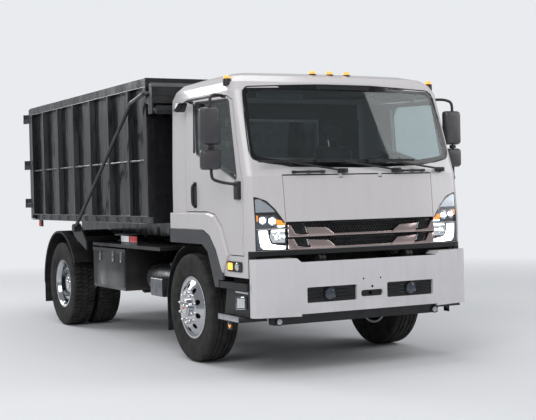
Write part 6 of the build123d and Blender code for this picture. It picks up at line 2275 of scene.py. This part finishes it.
@dataclass
class TarpRoll:
    """Mesh tarp wound on its roller, its hem drawn down over the turns, with end caps and straps.

    Attributes:
        half: half length of the wound cloth.
        radius: radius of the roll.
        centre: the roller's axis as (y, z).
        steps: points round the roll.
        columns: stretches along it.
        straps: places of the straps across the truck.
    """

    half: float = 1.232
    radius: float = 0.0435
    centre: Flat = (-1.3175, 2.455)
    steps: int = 56
    columns: int = 150
    straps: tuple[float, ...] = (-1.05, -0.36, 0.36, 1.05)

    def ring(self, x: float) -> list[Point]:
        """The wound cloth's section at a place across the truck.

        Args:
            x: the ring's place across the truck.

        Returns:
            The points.
        """
        y, z = self.centre
        end = min(1.0, (self.half - abs(x)) / 0.02)
        points = []
        for k in range(self.steps):
            turn = TURN * k / self.steps
            folds = 0.0016 * noise.noise(Vector((x * 3.2, 5 * math.cos(turn), 5 * math.sin(turn))))
            folds += 0.0007 * math.sin(34 * x + 3 * turn)
            hem = 0.0022 if k > self.steps * 0.80 else 0.0
            r = self.radius + folds + hem - 0.004 * (1 - end)
            points.append((x, y + r * math.cos(turn), z + r * math.sin(turn)))
        return points

    def build(self) -> None:
        """Makes the roll in place of the plain solid."""
        y, z = self.centre
        places = [-self.half + 2 * self.half * i / self.columns for i in range(self.columns + 1)]
        shape = Shape().loft([self.ring(x) for x in places])
        strap = [(-0.018, 0.0450), (-0.018, 0.0472), (0.018, 0.0472), (0.018, 0.0450)]
        for x in self.straps:
            shape.lathe(strap, (x, y, z), 40, 2, closed=True)
        end = self.half - 0.001
        cap = [(end, 0.018), (end + 0.0415, 0.018), (end + 0.0415, 0.006)]
        for sign in SIDES.values():
            shape.lathe(cap, (0, y, z), 24, 1, sign=sign)
        shape.piece("wound_tarp", "chassis", "tarp", [Finishes.TARP, Finishes.STEEL, Finishes.HOSE],
                    ["tarp_roll"])


@dataclass
class Studio:
    """Plain pale floor, soft lamps, world and camera.

    Attributes:
        eye: the camera's place.
        yaw: heading from +Y towards +X, in radians.
        pitch: climb of the view, in radians.
        roll: lean of the view, in radians.
        lens_mm: focal length on a 36 mm wide sensor.
        lamps: square area lamps as (name, place, edge length, power in watts).
        aim: point at which the lamps look.
    """

    eye: Point = (-5.524, -11.7928, 1.6041)
    yaw: float = 0.4857
    pitch: float = -0.0158
    roll: float = -0.0233
    lens_mm: float = 75.84
    lamps: tuple[tuple[str, Point, float, float], ...] = (
        ("key", (-7.5, -8.5, 7.5), 7.0, 560), ("fill", (7.5, -6.0, 5.0), 6.0, 300),
        ("back", (-5.0, 8.5, 6.5), 5.0, 430), ("top", (0.0, 0.0, 9.0), 6.0, 260),
    )
    aim: Point = (0, 0, 1.2)

    def camera(self) -> None:
        """Places the camera at the photograph's viewing angle."""
        ahead = Vector((math.sin(self.yaw) * math.cos(self.pitch), math.cos(self.yaw) * math.cos(self.pitch),
                        math.sin(self.pitch)))
        level = Vector((math.cos(self.yaw), -math.sin(self.yaw), 0))
        up = level.cross(ahead)
        right = level * math.cos(self.roll) + up * math.sin(self.roll)
        top = up * math.cos(self.roll) - level * math.sin(self.roll)
        turn = Matrix((right, top, -ahead)).transposed().to_4x4()
        data = bpy.data.cameras.new("camera")
        data.lens, data.sensor_width = self.lens_mm, 36.0
        camera = linked("camera", data)
        camera.matrix_world = Matrix.Translation(self.eye) @ turn
        bpy.context.scene.camera = camera

    def light(self) -> None:
        """Hangs the area lamps, each aimed at the truck's middle."""
        for name, place, size, watts in self.lamps:
            data = bpy.data.lights.new(name, "AREA")
            data.size, data.energy = size, watts
            lamp = linked(name, data)
            lamp.location = place
            lamp.rotation_mode = "QUATERNION"
            lamp.rotation_quaternion = (Vector(self.aim) - Vector(place)).to_track_quat("-Z", "Y")

    @staticmethod
    def world() -> None:
        """Pale backdrop for camera and glass rays; softer light for the rest."""
        world = bpy.data.worlds.new("studio")
        world.use_nodes = True
        tree = world.node_tree
        tree.nodes.clear()
        path = add(tree, "ShaderNodeLightPath")
        rays = {0: path.outputs["Is Camera Ray"], 1: path.outputs["Is Transmission Ray"]}
        seen = add(tree, "ShaderNodeMath", rays, operation="MAXIMUM").outputs[0]
        light = add(tree, "ShaderNodeBackground", {"Color": linear("#dfe3e8"), "Strength": 0.42})
        back = add(tree, "ShaderNodeBackground", {"Color": linear("#e9ebee"), "Strength": 1.0})
        mix = add(tree, "ShaderNodeMixShader", {0: seen, 1: light.outputs[0], 2: back.outputs[0]})
        add(tree, "ShaderNodeOutputWorld", {"Surface": mix.outputs[0]})
        bpy.context.scene.world = world

    @staticmethod
    def floor() -> None:
        """Pale floor that fades into the backdrop."""
        shape = Shape().lathe([(0.0, 0.01), (0.0, 60.0)], (0, 0, -0.002), 64, axis=Axis.Z)
        shape.faces.pop()
        mesh = shape.mesh("floor")
        material = bpy.data.materials.new("pale_floor")
        wiring = Wiring(material)
        wiring.feed(Base_Color=linear("#e6e7e9"), Roughness=0.75)
        place = wiring.out("ShaderNodeTexCoord", {}, "Object")
        far = wiring.out("ShaderNodeVectorMath", {0: place}, "Value", operation="LENGTH")
        fade = wiring.out("ShaderNodeMapRange", {"Value": far, "From Min": 4.2, "From Max": 14.0})
        clear = wiring.out("ShaderNodeBsdfTransparent", {})
        mix = wiring.out("ShaderNodeMixShader", {0: fade, 1: wiring.shader.outputs[0], 2: clear})
        wiring.tree.links.new(mix, wiring.tree.nodes["Material Output"].inputs["Surface"])
        mesh.materials.append(material)
        floor = linked("floor", mesh)

    def build(self) -> None:
        """Sets the stage."""
        bpy.context.scene.view_settings.view_transform = "Standard"
        self.world()
        self.floor()
        self.light()
        self.camera()


NODES_BY_FINISH: tuple[tuple[Finish, str], ...] = (
    (Finishes.CAB, "cab_roof cab_rear_wall cab_front_panels front_lid door_left door_right"),
    (Finishes.GLASS, "cab_glass door_glass_left door_glass_right"),
    (Finishes.INNER, "dashboard"),
    (Finishes.CLOTH, "seats"),
    (Finishes.BUMPER, "front_bumper"),
    (Finishes.FLARE, "cab_flares"),
    (Finishes.BLACK, "front_underrun rear_fenders front_mudguards cab_steps wipers"),
    (Finishes.BLACK, "mirrors_left mirrors_right"),
    (Finishes.ROSE_CHROME, "grille"),
    (Finishes.REFLECTOR, "headlamps"),
    (Finishes.AMBER_LIT, "marker_lamps"),
    (Finishes.CHASSIS, "chassis_frame front_axle rear_axle air_tanks rear_lamp_bar cab_floor"),
    (Finishes.IRON, "engine_gearbox knuckle_left knuckle_right"),
    (Finishes.STEEL, "drive_shaft exhaust_canister"),
    (Finishes.ALLOY, "fuel_tank front_rim_left front_rim_right rear_rims_left rear_rims_right"),
    (Finishes.TYRE, "front_tyre_left front_tyre_right rear_tyres_left rear_tyres_right"),
    (Finishes.HOIST, "side_tool_box hoist_subframe arm_brackets tarp_gantry tilt_frame hook_mast tarp_arms"),
    (Finishes.HOIST, "lift_barrels"),
    (Finishes.ROD, "lift_rods"),
    (Finishes.TARP, "tarp_roll"),
    (Finishes.BOX, "container_base container_side_left container_side_right gate_left gate_right"),
)


def dress_nodes(nodes: dict[str, bpy.types.Object]) -> None:
    """Gives every CAD node its finish.

    Args:
        nodes: CAD nodes by name.
    """
    finishes = {name: finish for finish, names in NODES_BY_FINISH for name in names.split()}
    for name, made in nodes.items():
        finish = finishes[name]
        if not made.material_slots:
            made.data.materials.append(finish.material())
        for slot in made.material_slots:
            slot.material = finish.material()
        LOG.info("%s dressed as %s", name, finish.name)


def main() -> None:
    """Builds the sub-assemblies in order."""
    logging.basicConfig(level=logging.INFO, format="%(name)s: %(message)s")
    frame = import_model()
    dress_nodes(frame["nodes"])
    for part in (Tyres(), WheelTrim(), Glazing(), Headlamps(), Grille(), MarkerLamps(), CabTrim(),
                 BumperTrim(), StepTrim(), Mirrors(), Seats(), Cabin(), BoxTrim(), ChassisTrim(), TarpRoll(),
                 Studio()):
        part.build()


if __name__ == "__main__":
    main()
